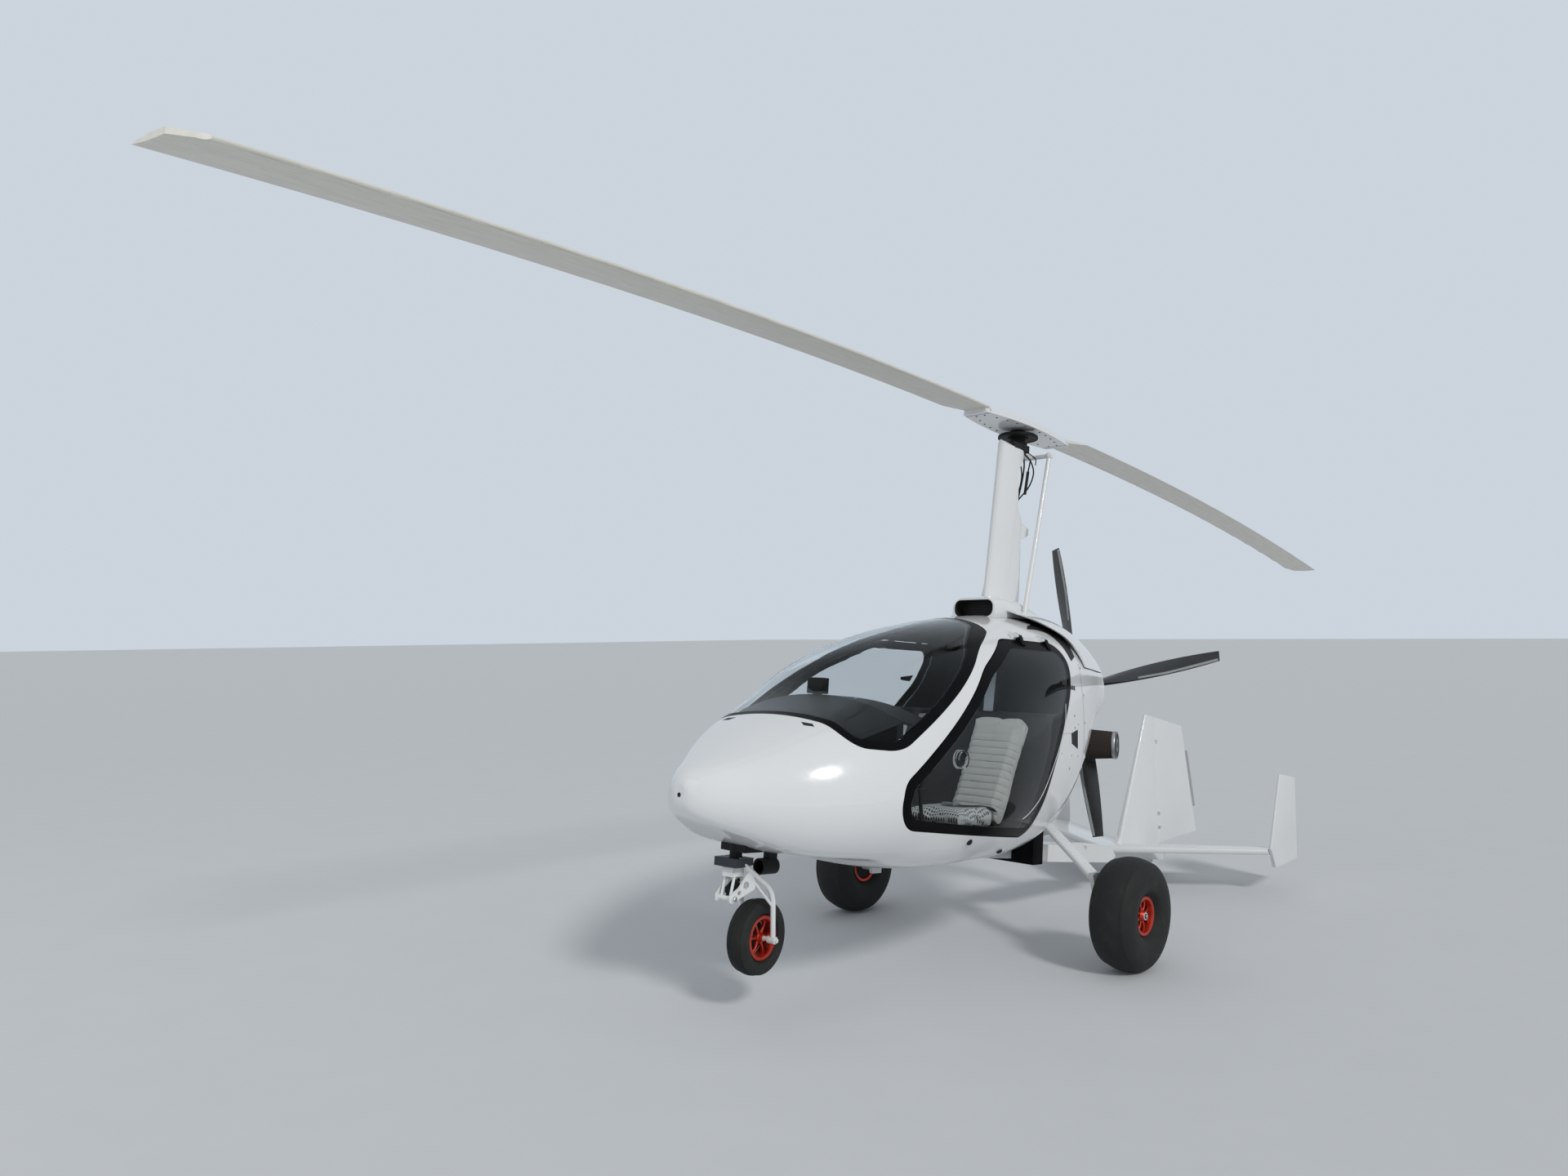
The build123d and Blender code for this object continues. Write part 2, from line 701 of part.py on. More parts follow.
def mast_tube(extra=0.0):
    """The square tube that carries the mast, from the keel to the roof"""
    size = MAST_TUBE + 2 * extra
    drop = MAST_FOOT_Z - mast_tube_foot()
    foot = Pos(0, MAST_FOOT_Y - drop * tan(radians(MAST_LEAN)), mast_tube_foot()) * Rectangle(size, size)
    top = Pos(0, MAST_FOOT_Y, MAST_FOOT_Z) * Rectangle(size, size)
    return loft([foot, top])


def mast_tube_foot():
    return keel_z(KEEL_FRONT_Y)


# Seats and controls
def make_seats():
    for side, name in ((1, "port"), (-1, "starboard")):
        x0, x1 = SEAT_X - SEAT_W / 2, SEAT_X + SEAT_W / 2
        back = side_prism(outline_face(SEAT_BACK_OUTLINE), x0, x1)
        cushion = side_prism(outline_face(CUSHION_OUTLINE), x0, x1)
        for part, shape in {"seat_back": back, "seat_cushion": cushion}.items():
            save(f"{part}_{name}", shape if side > 0 else mirrored(shape))
    bend = (SEAT_X, STICK_Y - STICK_LEAN, STICK_TOP_Z - GRIP_L)
    stick = rod((SEAT_X, STICK_Y, FLOOR_Z + FLOOR_T + FOOT_GAP), bend, STICK_R)
    stick += rod(bend, (SEAT_X, STICK_Y - STICK_LEAN + 10.0, STICK_TOP_Z), GRIP_R)
    save("control_sticks", stick + mirrored(stick))
    pedals = None
    for x in (SEAT_X - PEDAL_SPREAD, SEAT_X + PEDAL_SPREAD):
        foot = block(x - 35.0, x + 35.0, PEDAL_Y, PEDAL_Y + 12.0, FLOOR_Z + 60.0, FLOOR_Z + 170.0)
        foot += block(x - 8.0, x + 8.0, PEDAL_Y, PEDAL_Y + 12.0, FLOOR_Z + FLOOR_T, FLOOR_Z + 62.0)
        pedals = foot if pedals is None else pedals + foot
    save("pedals", pedals + mirrored(pedals))


# Mast and rotor head
def make_mast():
    blade = mast_blade()
    notch = side_prism(outline_face(MAST_NOTCH_OUTLINE), -100.0, 100.0)
    bump = side_prism(outline_face(MAST_BUMP_OUTLINE), -28.0, 28.0)
    cap = block(-100.0, 100.0, -200.0, 400.0, MAST_TOP_Z - 10.0, MAST_TOP_Z + 10.0)
    save("mast", (blade - notch) + bump - cap)
    save("mast_tube", mast_tube() - keel(SEAM))
    top = MAST_TOP_Z - 10.0
    head = block(-45.0, 45.0, MAST_TOP_Y - 40.0, HUB_Y + 50.0, top, top + 38.0)
    head += rod((0, HUB_Y, top + 38.0), (0, HUB_Y, RING_GEAR_Z - SEAM), 34.0)
    bar = rod((0, HUB_Y + 20.0, top + 19.0), (0, TORQUE_BAR_Y, TORQUE_BAR_Z), 14.0)
    end = TORQUE_BAR_HALF + ROD_R + 3.0
    bar += bar_x(-end, end, TORQUE_BAR_Y, TORQUE_BAR_Z, TORQUE_BAR_R)
    save("rotor_head", head + bar)
    eye = (TORQUE_BAR_HALF, TORQUE_BAR_Y, TORQUE_BAR_Z - TORQUE_BAR_R - 1.0)
    link = rod(eye, (ROD_FOOT_X, ROD_FOOT_Y, ROD_FOOT_Z), ROD_R) - hood_form(-SEAM)
    save("control_rods", link + mirrored(link))


def make_rotor():
    start = BLADE_ROOT_R
    length = ROTOR_R - start
    bend = length * length / (2 * BLADE_DROOP)
    ahead, behind = BLADE_AHEAD, ROTOR_CHORD - BLADE_AHEAD
    high, low = 0.6 * BLADE_THICK, -0.4 * BLADE_THICK
    upper = ThreePointArc((-behind, 1.2), (-0.2 * behind, high), (ahead - 14.0, 0.62 * high))
    nose = ThreePointArc((ahead - 14.0, 0.62 * high), (ahead, 0), (ahead - 14.0, 0.7 * low))
    lower = ThreePointArc((ahead - 14.0, 0.7 * low), (-0.2 * behind, low), (-behind, -1.2))
    end = Line((-behind, -1.2), (-behind, 1.2))
    section = station_plane(-start) * Pos(0, HUB_Z) * make_face([upper, nose, lower, end])
    far = Axis((0, -start, HUB_Z - bend), (1, 0, 0))
    front = revolve(section, far, degrees(length / bend))
    tip = [
        (ahead + 10, ROTOR_R - 150),
        (ahead, ROTOR_R - 150),
        (ahead * 0.45, ROTOR_R - 45),
        (-behind, ROTOR_R - 8),
        (-behind - 10, ROTOR_R + 60),
        (ahead + 10, ROTOR_R + 60),
    ]
    root = [
        (-behind - 10, start - 10),
        (-behind - 10, start + 170),
        (-behind, start + 150),
        (-42, start - 10),
    ]
    for corner in (tip, root):
        face = make_face(Polyline(*[(x, -r) for x, r in corner], close=True))
        front = front - extrude(Pos(0, 0, HUB_Z - 700) * face, 900)
    front = Pos(0, HUB_Y, 0) * front
    rear = Pos(0, HUB_Y, 0) * Rot(0, 0, 180) * Pos(0, -HUB_Y, 0) * front
    bar = hub_bar(BLADE_ROOT_R - SEAM, 0.0)
    gear = rod((0, HUB_Y, RING_GEAR_Z), (0, HUB_Y, RING_GEAR_Z + 12.0), RING_GEAR_R)
    gear += rod((0, HUB_Y, RING_GEAR_Z), (0, HUB_Y, HUB_Z - HUB_BAR_T / 2), 40.0)
    sections = []
    for share, width, height in FAIRING_SECTIONS:
        half, low = width * FAIRING_W / 2, -FAIRING_BELOW
        rise = height * FAIRING_H
        floor = (-half, low), (half, low)
        brow = (half * FAIRING_TAPER, low + FAIRING_WALL * rise)
        dome = ThreePointArc(brow, (0, low + rise), (-brow[0], brow[1]))
        outline = [Line(*floor), Line(floor[1], brow), dome, Line((-brow[0], brow[1]), floor[0])]
        sections.append(station_plane(HUB_Y + share * FAIRING_HALF) * Pos(0, HUB_Z) * make_face(outline))
    fairing = loft(sections) - hub_bar(BLADE_ROOT_R, SEAM)
    fairing = fairing - front - rear - rod((0, HUB_Y, RING_GEAR_Z), (0, HUB_Y, HUB_Z), 40.0 + SEAM)
    save("rotor_blade_front", front)
    save("rotor_blade_rear", rear)
    save("rotor_hub_bar", bar)
    save("rotor_ring_gear", gear)
    save("rotor_hub_fairing", fairing)


def hub_bar(reach, extra):
    """The flat bar that carries both blades"""
    half, rise = HUB_BAR_W / 2 + extra, HUB_BAR_T / 2 + extra
    return block(-half, half, HUB_Y - reach, HUB_Y + reach, HUB_Z - rise, HUB_Z + rise)


# Engine and propeller
def on_thrust_line(shape):
    return Pos(0, PROP_Y, PROP_Z) * Rot(-PROP_TILT, 0, 0) * shape


def make_propeller():
    blade_sections = []
    for r, chord, thick, pitch in PROP_STATIONS:
        face = Pos(-chord / 2, 0) * foil(chord, thick, 2.0)
        plane = Plane(origin=(0, 0, r), x_dir=(1, 0, 0), z_dir=(0, 0, 1))
        blade_sections.append(plane * Rot(0, 0, 180 - pitch) * face)
    blade = loft(blade_sections)
    hub = Rot(90, 0, 0) * Cylinder(PROP_HUB_R, PROP_HUB_L)
    hub += Rot(90, 0, 0) * Pos(0, 0, -PROP_HUB_L / 2 - 8.0) * Cylinder(PROP_HUB_R * 0.5, 16.0)
    blades = None
    for i in range(PROP_BLADES):
        turned = Rot(0, PROP_TURN + 90.0 * i, 0) * blade
        blades = turned if blades is None else blades + turned
        stub = Pos(0, 0, PROP_HUB_R) * Cylinder(27.0, 2 * (PROP_STATIONS[0][0] - PROP_HUB_R))
        hub += Rot(0, PROP_TURN + 90.0 * i, 0) * stub
    save("propeller_hub", on_thrust_line(hub))
    save("propeller_blades", on_thrust_line(blades))


def make_engine():
    front, back = ENGINE_FRONT_Y - PROP_Y, ENGINE_BACK_Y - PROP_Y
    low = ENGINE_Z - PROP_Z
    case = block(-ENGINE_W / 2, ENGINE_W / 2, front, back - 90.0, low - ENGINE_H / 2, low + ENGINE_H / 2)
    for side in (-1, 1):
        x0, x1 = sorted((side * ENGINE_W / 2, side * CYLINDER_OUT))
        for y in CYLINDER_YS:
            case += block(x0, x1, y - PROP_Y - 62.0, y - PROP_Y + 62.0, low - 60.0, low + 60.0)
    case += bar_y(0.0, 0.0, back - 90.0, back, 88.0)
    case += bar_y(0.0, 0.0, back, -PROP_HUB_L / 2 - SEAM, 36.0)
    engine = on_thrust_line(case)
    for x in (-120.0, 120.0):
        for z in (ENGINE_Z - 110.0, ENGINE_Z + 110.0):
            engine += bar_y(x, z, FIREWALL_Y + FIREWALL_T, ENGINE_FRONT_Y + 60.0, 11.0)
    save("engine_block", engine)
    a, b = Vector(*FILTER_BASE), Vector(*FILTER_CAP)
    step = (b - a).length
    plane = Plane(origin=a, z_dir=b - a)
    cone = loft([plane * Circle(FILTER_R), plane.offset(step) * Circle(FILTER_TIP_R)])
    duct = rod(FILTER_BASE, FILTER_DUCT_END, FILTER_DUCT_R)
    duct += rod(FILTER_BASE, a + (b - a) * 0.2, FILTER_DUCT_R)
    save("air_filter", cone + (duct - engine))
    cap = extrude(plane.offset(step) * Circle(FILTER_CAP_R), FILTER_CAP_T)
    save("air_filter_cap", cap)


# Keel, tail surfaces and tail wheel
def make_tail():
    save("keel_tube", keel())
    lower = BOOM_H / 2
    front_z, back_z = keel_z(BOOM_FRONT_Y), keel_z(BOOM_BACK_Y)
    outline = [
        (BOOM_FRONT_Y, front_z + lower),
        (BOOM_BACK_Y - 60.0, back_z + lower + 2.0),
        (BOOM_BACK_Y, back_z - 10.0),
        (BOOM_BACK_Y - 50.0, back_z - lower),
        (BOOM_FRONT_Y, front_z - lower),
    ]
    boom = side_plate(outline, -BOOM_HALF, BOOM_HALF) - keel(SEAM)
    save("boom_fairing", boom)
    stab = make_stabiliser()
    save("stabiliser", stab - keel(SEAM))
    for side, name in ((1, "port"), (-1, "starboard")):
        wing = make_winglet()
        save(f"winglet_{name}", wing if side > 0 else mirrored(wing))
    fin_faces, rudder_faces = [], []
    for z, thick in ((FIN_LOW_Z, FIN_THICK), (FIN_HIGH_Z, FIN_THICK * FIN_TIP_SHARE)):
        nose = line_at(z, FIN_LE_FOOT, FIN_LE_TOP)
        hinge = line_at(z, HINGE_FOOT, HINGE_TOP)
        front = hinge + RUDDER_GAP
        trail = line_at(z, RUDDER_FOOT, RUDDER_TOP)
        fin_faces.append(level_section(0, nose, z, foil(hinge - nose, thick, thick * 0.8)))
        rudder_faces.append(level_section(0, front, z, rudder_section(trail - front, thick * 0.8)))
    slope = (RUDDER_TOP[1] - FIN_LE_TOP[1]) / (RUDDER_TOP[0] - FIN_LE_TOP[0])
    crest = [
        (1300.0, FIN_LE_TOP[1] + slope * (1300.0 - FIN_LE_TOP[0])),
        (2800.0, FIN_LE_TOP[1] + slope * (2800.0 - FIN_LE_TOP[0])),
        (2800.0, 1500.0),
        (1300.0, 1500.0),
    ]
    above = side_plate(crest, -60.0, 60.0)
    sole = [
        (1800.0, RUDDER_LOW_Z),
        (HINGE_FOOT[0], RUDDER_LOW_Z),
        RUDDER_FOOT,
        (2800.0, RUDDER_FOOT[1] + 15.0),
        (2800.0, 200.0),
        (1800.0, 200.0),
    ]
    below = side_plate(sole, -60.0, 60.0)
    fin = loft(fin_faces) - above
    foot = make_face([
        Line((1415.0, 380.0), (1600.0, 380.0)),
        Line((1600.0, 380.0), (1560.0, 540.0)),
        Line((1560.0, 540.0), (1533.0, 512.0)),
        ThreePointArc((1533.0, 512.0), (1495.0, 440.0), (1415.0, 402.0)),
        Line((1415.0, 402.0), (1415.0, 380.0)),
    ])
    fin = fin + side_prism(foot, -9.0, 9.0)
    lugs, slots, pins = None, None, None
    for z in RUDDER_HINGE_ZS:
        pin_y = hinge_pin_y(z)
        lug = block(-8.0, 8.0, pin_y - 36.0, pin_y + 9.0, z - 5.0, z + 5.0)
        bore = rod((0, hinge_pin_y(z - 30.0), z - 30.0), (0, hinge_pin_y(z + 30.0), z + 30.0), 4.4)
        slot = block(-40.0, 40.0, pin_y - 40.0, pin_y + 16.0, z - 10.0, z + 10.0)
        pin = rod((0, hinge_pin_y(z - 14.0), z - 14.0), (0, hinge_pin_y(z + 14.0), z + 14.0), 4.0)
        lug = lug - bore
        lugs = lug if lugs is None else lugs + lug
        slots = slot if slots is None else slots + slot
        pins = pin if pins is None else pins + pin
    solid = fin + lugs
    save("fin", solid - stab - keel(SEAM))
    rudder = loft(rudder_faces) - above - below - slots + pins
    save("rudder", rudder)
    tab_low, tab_high = TAB_ZS
    edge = []
    for z, out in ((tab_low, 0.4), (tab_low, TAB_W), (tab_high, TAB_W), (tab_high, 0.4)):
        edge.append((line_at(z, RUDDER_FOOT, RUDDER_TOP) + out, z))
    save("trim_tab", side_plate(edge, -1.5, 1.5))
    z = tail_axle_z()
    wheel = bar_x(-TAIL_WHEEL_W / 2, TAIL_WHEEL_W / 2, TAIL_WHEEL_Y, z, TAIL_WHEEL_R)
    wheel = fillet(wheel.edges().filter_by(GeomType.CIRCLE), 9.0)
    save("tail_wheel", wheel - bar_x(-30.0, 30.0, TAIL_WHEEL_Y, z, 6.5))
    under = keel_z(TAIL_WHEEL_Y) - KEEL_H / 2
    fork = None
    for side in (-1, 1):
        x0, x1 = sorted((side * 21.5, side * 27.5))
        corners = [
            (TAIL_WHEEL_Y - 90.0, under + 40.0),
            (TAIL_WHEEL_Y + 130.0, under + 10.0),
            (TAIL_WHEEL_Y + 130.0, under - 18.0),
            (TAIL_WHEEL_Y + 16.0, z - 14.0),
            (TAIL_WHEEL_Y - 16.0, z - 14.0),
        ]
        plate = side_plate(corners, x0, x1)
        fork = plate if fork is None else fork + plate
    fork += bar_x(-27.0, 27.0, TAIL_WHEEL_Y, z, 6.0)
    save("tail_wheel_fork", fork - keel(SEAM))


def tail_axle_z():
    """The tail wheel touches the ground once the airframe is tipped back"""
    a = radians(NOSE_UP)
    return MAIN_R + (TAIL_WHEEL_R - MAIN_R + TAIL_WHEEL_Y * sin(a)) / cos(a)


def hinge_pin_y(z):
    """The rudder turns about the middle of its round nose"""
    share = (z - FIN_LOW_Z) / (FIN_HIGH_Z - FIN_LOW_Z)
    half = 0.4 * FIN_THICK * (1 - (1 - FIN_TIP_SHARE) * share)
    return line_at(z, HINGE_FOOT, HINGE_TOP) + RUDDER_GAP + half


def rudder_section(chord, thick):
    """Round nose about the hinge line, then a straight taper"""
    half = thick / 2
    nose = ThreePointArc((half, half), (0, 0), (half, -half))
    upper = Line((half, half), (chord, 2.0))
    end = Line((chord, 2.0), (chord, -2.0))
    lower = Line((chord, -2.0), (half, -half))
    return make_face([nose, upper, end, lower])


def upright(x, y, z):
    """An upright plane along the aircraft"""
    return Plane(origin=(x, y, z), x_dir=(0, 1, 0), z_dir=(1, 0, 0))


def make_stabiliser():
    span = STAB_HALF - WINGLET_THICK / 2 - SEAM
    root = upright(0, STAB_ROOT_LE, STAB_ROOT_Z) * foil(STAB_ROOT_TE - STAB_ROOT_LE, STAB_THICK, 5.0)
    share = span / STAB_HALF
    le = STAB_ROOT_LE + share * (STAB_TIP_LE - STAB_ROOT_LE)
    te = STAB_ROOT_TE + share * (STAB_TIP_TE - STAB_ROOT_TE)
    z = STAB_ROOT_Z + share * (STAB_TIP_Z - STAB_ROOT_Z)
    tip = upright(span, le, z) * foil(te - le, STAB_THICK * STAB_TIP_SHARE, 4.0)
    half = loft([root, tip])
    return half + mirrored(half)


def make_winglet():
    low, high = WINGLET[3][1] - 10.0, WINGLET[0][1] + 10.0
    faces = []
    for z, thick in ((low, WINGLET_THICK), (high, WINGLET_THICK * 0.7)):
        nose = line_at(z, WINGLET[4], WINGLET[0])
        trail = line_at(z, WINGLET[2], WINGLET[1])
        faces.append(level_section(STAB_HALF, nose, z, foil(trail - nose, thick, 3.0)))
    return loft(faces) & side_plate(WINGLET, STAB_HALF - 40.0, STAB_HALF + 40.0)


# Main gear
def tyre_profile(radius, width, rim_r, rim_w, inset):
    """Half section of a balloon tyre, moved in by inset: tread, side walls and beads, as a face over X"""
    w, r = width / 2 - inset, radius - inset
    bead_x = rim_w / 2 - RIM_FLANGE - SEAM - inset * 0.5
    low = rim_r - RIM_SEAT + SEAM
    lip = rim_r + 2.0
    rise = radius - rim_r
    tread = (0.62 * w, r - 0.055 * radius)
    side = (w, rim_r + 0.5 * rise)
    shoulder = (0.91 * w, rim_r + 0.74 * rise)
    root = (0.93 * w, rim_r + 0.2 * rise)
    half = [tread, shoulder, side, root, (bead_x, lip), (bead_x, low)]
    left = [(-x, y) for x, y in half]
    return make_face([
        ThreePointArc(left[0], (0, r), half[0]),
        ThreePointArc(half[0], half[1], half[2]),
        ThreePointArc(half[2], half[3], half[4]),
        Line(half[4], half[5]),
        Line(half[5], left[5]),
        Line(left[5], left[4]),
        ThreePointArc(left[4], left[3], left[2]),
        ThreePointArc(left[2], left[1], left[0]),
    ])


def tyre_ring(radius, width, rim_r, rim_w, wall):
    """A hollow tyre as a ring about X"""
    ring = revolve(tyre_profile(radius, width, rim_r, rim_w, 0.0), Axis.X, 360)
    return ring - revolve(tyre_profile(radius, width, rim_r, rim_w, wall), Axis.X, 360)


def spoked_rim(radius, width, hub_r, hub_half, bore_r, spokes, spoke_x):
    """A wheel about X: barrel with two flanges, hub and flat spokes"""
    seat = radius - RIM_SEAT
    half = width / 2
    inner = half - RIM_FLANGE
    rows = [
        (-half, radius),
        (-inner, radius),
        (-inner, seat),
        (inner, seat),
        (inner, radius),
        (half, radius),
        (half, seat - RIM_FLANGE),
        (-half, seat - RIM_FLANGE),
    ]
    barrel = revolve(make_face(Polyline(*rows, close=True)), Axis.X, 360)
    hub = bar_x(-hub_half, hub_half, 0, 0, hub_r) + bar_x(spoke_x - 7.0, spoke_x + 7.0, 0, 0, hub_r + 9.0)
    wheel = barrel + hub
    for i in range(spokes):
        spoke = block(spoke_x - 6.0, spoke_x + 6.0, -8.0, 8.0, hub_r - 4.0, seat - 4.0)
        wheel += Rot(360.0 / spokes * i, 0, 0) * spoke
    return wheel - bar_x(-200.0, 200.0, 0, 0, bore_r)


def make_main_gear():
    leg = gear_leg()
    ends = gear_leg(SEAM)
    box = block(-SOCKET_HALF, SOCKET_HALF, SOCKET_FRONT_Y, SOCKET_BACK_Y, SOCKET_BOTTOM_Z, SOCKET_TOP_Z)
    save("gear_socket", box - ends - mirrored(ends) - keel(SEAM))
    x = MAIN_TRACK / 2
    corners = [
        (-104.0, 428.0),
        (-8.0, 428.0),
        (38.0, 300.0),
        (38.0, MAIN_R - 30.0),
        (-38.0, MAIN_R - 30.0),
        (-64.0, 330.0),
    ]
    plate = side_plate(corners, AXLE_PLATE_X + SEAM, AXLE_PLATE_X + 22.0)
    hub_half = 62.0
    axle = bar_x(AXLE_PLATE_X + 20.0, x + hub_half + 12.0, 0, MAIN_R, MAIN_AXLE_R)
    axle += bar_x(AXLE_PLATE_X + 20.0, x - hub_half - 1.0, 0, MAIN_R, MAIN_AXLE_R + 8.0)
    axle += bar_x(x + hub_half + 0.6, x + hub_half + 14.0, 0, MAIN_R, MAIN_AXLE_R + 5.0)
    bracket = plate + axle
    rim = spoked_rim(MAIN_RIM_R, MAIN_RIM_W, 30.0, hub_half, MAIN_AXLE_R + 0.5, 6, 34.0)
    rim += bar_x(-64.0, -56.0, 0, 0, 66.0) - bar_x(-80.0, 0.0, 0, 0, 29.0)
    tyre = tyre_ring(MAIN_R, MAIN_TYRE_W, MAIN_RIM_R, MAIN_RIM_W, 11.0)
    place = Pos(x, 0, MAIN_R)
    save("gear_legs", leg + mirrored(leg))
    save("main_axles", bracket + mirrored(bracket))
    for name, shape in {"main_rim": place * rim, "main_tyre": place * tyre}.items():
        save(f"{name}_port", shape)
        save(f"{name}_starboard", mirrored(shape))


# Nose gear
def steered(shape):
    """Turns what the nose leg carries about the steering line, as the aircraft stands"""
    return Pos(0, STEER_Y, 0) * Rot(0, 0, NOSE_STEER) * Pos(0, -STEER_Y, 0) * shape


def tube_along(points, radius, bend):
    """A round tube along points, each corner rounded by bend"""
    path = FilletPolyline(*points, radius=bend)
    start = Plane(origin=path @ 0, z_dir=path % 0)
    return sweep(start * Circle(radius), path=path)


def slanted(shape):
    """Turns the port side frame of the fork inwards, from the axle to the pivot"""
    slant = degrees(atan2(FORK_HALF - PIVOT_HALF, NOSE_WHEEL_Y - PIVOT_Y))
    return Pos(FORK_HALF, NOSE_WHEEL_Y, 0) * Rot(0, 0, -slant) * Pos(0, -NOSE_WHEEL_Y, 0) * shape


def fork_frame():
    """Port side frame of the fork: bent tube, brace and drilled plate"""
    plate = side_prism(outline_face(PLATE_OUTLINE), -FORK_PLATE_T / 2, FORK_PLATE_T / 2)
    for y, z, r in PLATE_HOLES:
        plate = plate - bar_x(-FORK_PLATE_T, FORK_PLATE_T, y, z, r)
    frame = plate + fork_tube(FORK_TUBE_R)
    return frame + rod((0, *FORK_BRACE[0]), (0, *FORK_BRACE[1]), 6.0)


def fork_tube(radius):
    return tube_along([(0, y, z) for y, z in FORK_ROUTE], radius, FORK_BEND)


def make_nose_gear():
    skin = pod(-SEAM)
    low, high = STEER_HEAD_Z, STEER_HEAD_Z + 120.0
    bracket = rod((0, STEER_Y, low), (0, STEER_Y, high), 26.0)
    bracket += block(-70.0, 70.0, STEER_Y - 20.0, STEER_Y + 150.0, low + 22.0, high)
    save("nose_gear_bracket", bracket - skin)
    top = STEER_HEAD_Z - 1.0
    yoke = block(-CLAMP_HALF, CLAMP_HALF, *CLAMP_YS, top - CLAMP_H, top)
    yoke += block(-HEAD_BLOCK_HALF, HEAD_BLOCK_HALF, *HEAD_BLOCK_YS, HEAD_BLOCK_LOW_Z, top - 1.0)
    pin_half = PIVOT_HALF - FORK_PLATE_T
    for side in (-1, 1):
        x = side * (pin_half - 8.0)
        yoke += rod((x, HEAD_BLOCK_YS[0] + 20.0, HEAD_BLOCK_LOW_Z + 10.0), (x, PIVOT_Y, PIVOT_Z), 6.0)
        bore = slanted(fork_tube(FORK_TUBE_R + SEAM))
        yoke = yoke - (bore if side > 0 else mirrored(bore))
    yoke += bar_x(-pin_half, pin_half, PIVOT_Y, PIVOT_Z, PIVOT_R)
    save("nose_leg_yoke", steered(yoke))
    half = slanted(fork_frame())
    half += bar_x(pin_half + SEAM, PIVOT_HALF + FORK_PLATE_T, PIVOT_Y, PIVOT_Z, 14.0)
    half += bar_x(FORK_HALF - 22.0, FORK_HALF + 14.0, NOSE_WHEEL_Y, NOSE_R, 15.0)
    arm = half + mirrored(half)
    share = (NOSE_WHEEL_Y - CROSS_BAR[0]) / (NOSE_WHEEL_Y - PIVOT_Y)
    bar_half = FORK_HALF - (FORK_HALF - PIVOT_HALF) * share
    arm += bar_x(-bar_half, bar_half, *CROSS_BAR, CROSS_BAR_R)
    arm += bar_x(-(FORK_HALF + 22.0), FORK_HALF + 22.0, NOSE_WHEEL_Y, NOSE_R, NOSE_AXLE_R)
    save("nose_fork", steered(arm))
    shock = rod((0, *SHOCK[0]), (0, *SHOCK[1]), SHOCK_R)
    shock += rod((0, PIVOT_Y, PIVOT_Z), (0, *CROSS_BAR), 7.0)
    save("nose_shock", steered(shock - yoke - arm))
    place = Pos(0, NOSE_WHEEL_Y, NOSE_R)
    rim = spoked_rim(NOSE_RIM_R, NOSE_RIM_W, 22.0, 42.0, NOSE_AXLE_R + 0.5, 5, 20.0)
    tyre = tyre_ring(NOSE_R, NOSE_TYRE_W, NOSE_RIM_R, NOSE_RIM_W, 8.0)
    save("nose_rim", steered(place * rim))
    save("nose_tyre", steered(place * tyre))
    duct = bar_y(0.0, DUCT_Z, DUCT_Y, DUCT_Y + DUCT_L, DUCT_R)
    duct = duct - bar_y(0.0, DUCT_Z, DUCT_Y - 10.0, DUCT_Y + DUCT_L - 30.0, DUCT_R - 7.0)
    duct += block(-16.0, 16.0, DUCT_Y + 40.0, DUCT_Y + DUCT_L, DUCT_Z + DUCT_R - 6.0, 640.0)
    save("belly_duct", duct - skin)


make_cabin()
make_seats()
make_mast()
make_rotor()
make_propeller()
make_engine()
make_tail()
make_main_gear()
make_nose_gear()
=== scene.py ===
from math import cos, pi, radians, sin, sqrt, tau

import bmesh
import bpy
from mathutils import Matrix, Vector
from mathutils.bvhtree import BVHTree


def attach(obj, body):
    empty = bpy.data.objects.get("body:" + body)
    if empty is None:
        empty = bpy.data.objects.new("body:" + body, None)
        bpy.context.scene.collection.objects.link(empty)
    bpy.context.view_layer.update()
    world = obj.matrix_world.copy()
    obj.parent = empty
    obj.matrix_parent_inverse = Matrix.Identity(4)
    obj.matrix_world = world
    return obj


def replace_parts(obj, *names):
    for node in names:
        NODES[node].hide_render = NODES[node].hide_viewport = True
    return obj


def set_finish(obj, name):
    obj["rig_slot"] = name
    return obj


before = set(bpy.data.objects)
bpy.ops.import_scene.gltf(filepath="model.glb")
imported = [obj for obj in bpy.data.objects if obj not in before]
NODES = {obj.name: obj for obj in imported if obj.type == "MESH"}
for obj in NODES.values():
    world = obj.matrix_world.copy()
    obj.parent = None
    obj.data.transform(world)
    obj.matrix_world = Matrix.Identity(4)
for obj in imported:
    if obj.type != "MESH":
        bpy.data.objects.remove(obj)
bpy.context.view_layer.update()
scene = bpy.context.scene

# The airframe's level frame: millimetres, +X port, +Y aft, origin on the ground under the main axle.
# LEVEL tips it back onto the tail wheel and puts the rotor hub over the origin, in metres.
NOSE_UP = 5.9
AXLE_BACK = 0.45527
AXLE_UP = 0.259
LEVEL = (
    Matrix.Translation((0, -AXLE_BACK, AXLE_UP))
    @ Matrix.Rotation(radians(-NOSE_UP), 4, "X")
    @ Matrix.Translation((0, 0, -AXLE_UP))
)
UNLEVEL = LEVEL.inverted()
UNTURN = UNLEVEL.to_3x3()

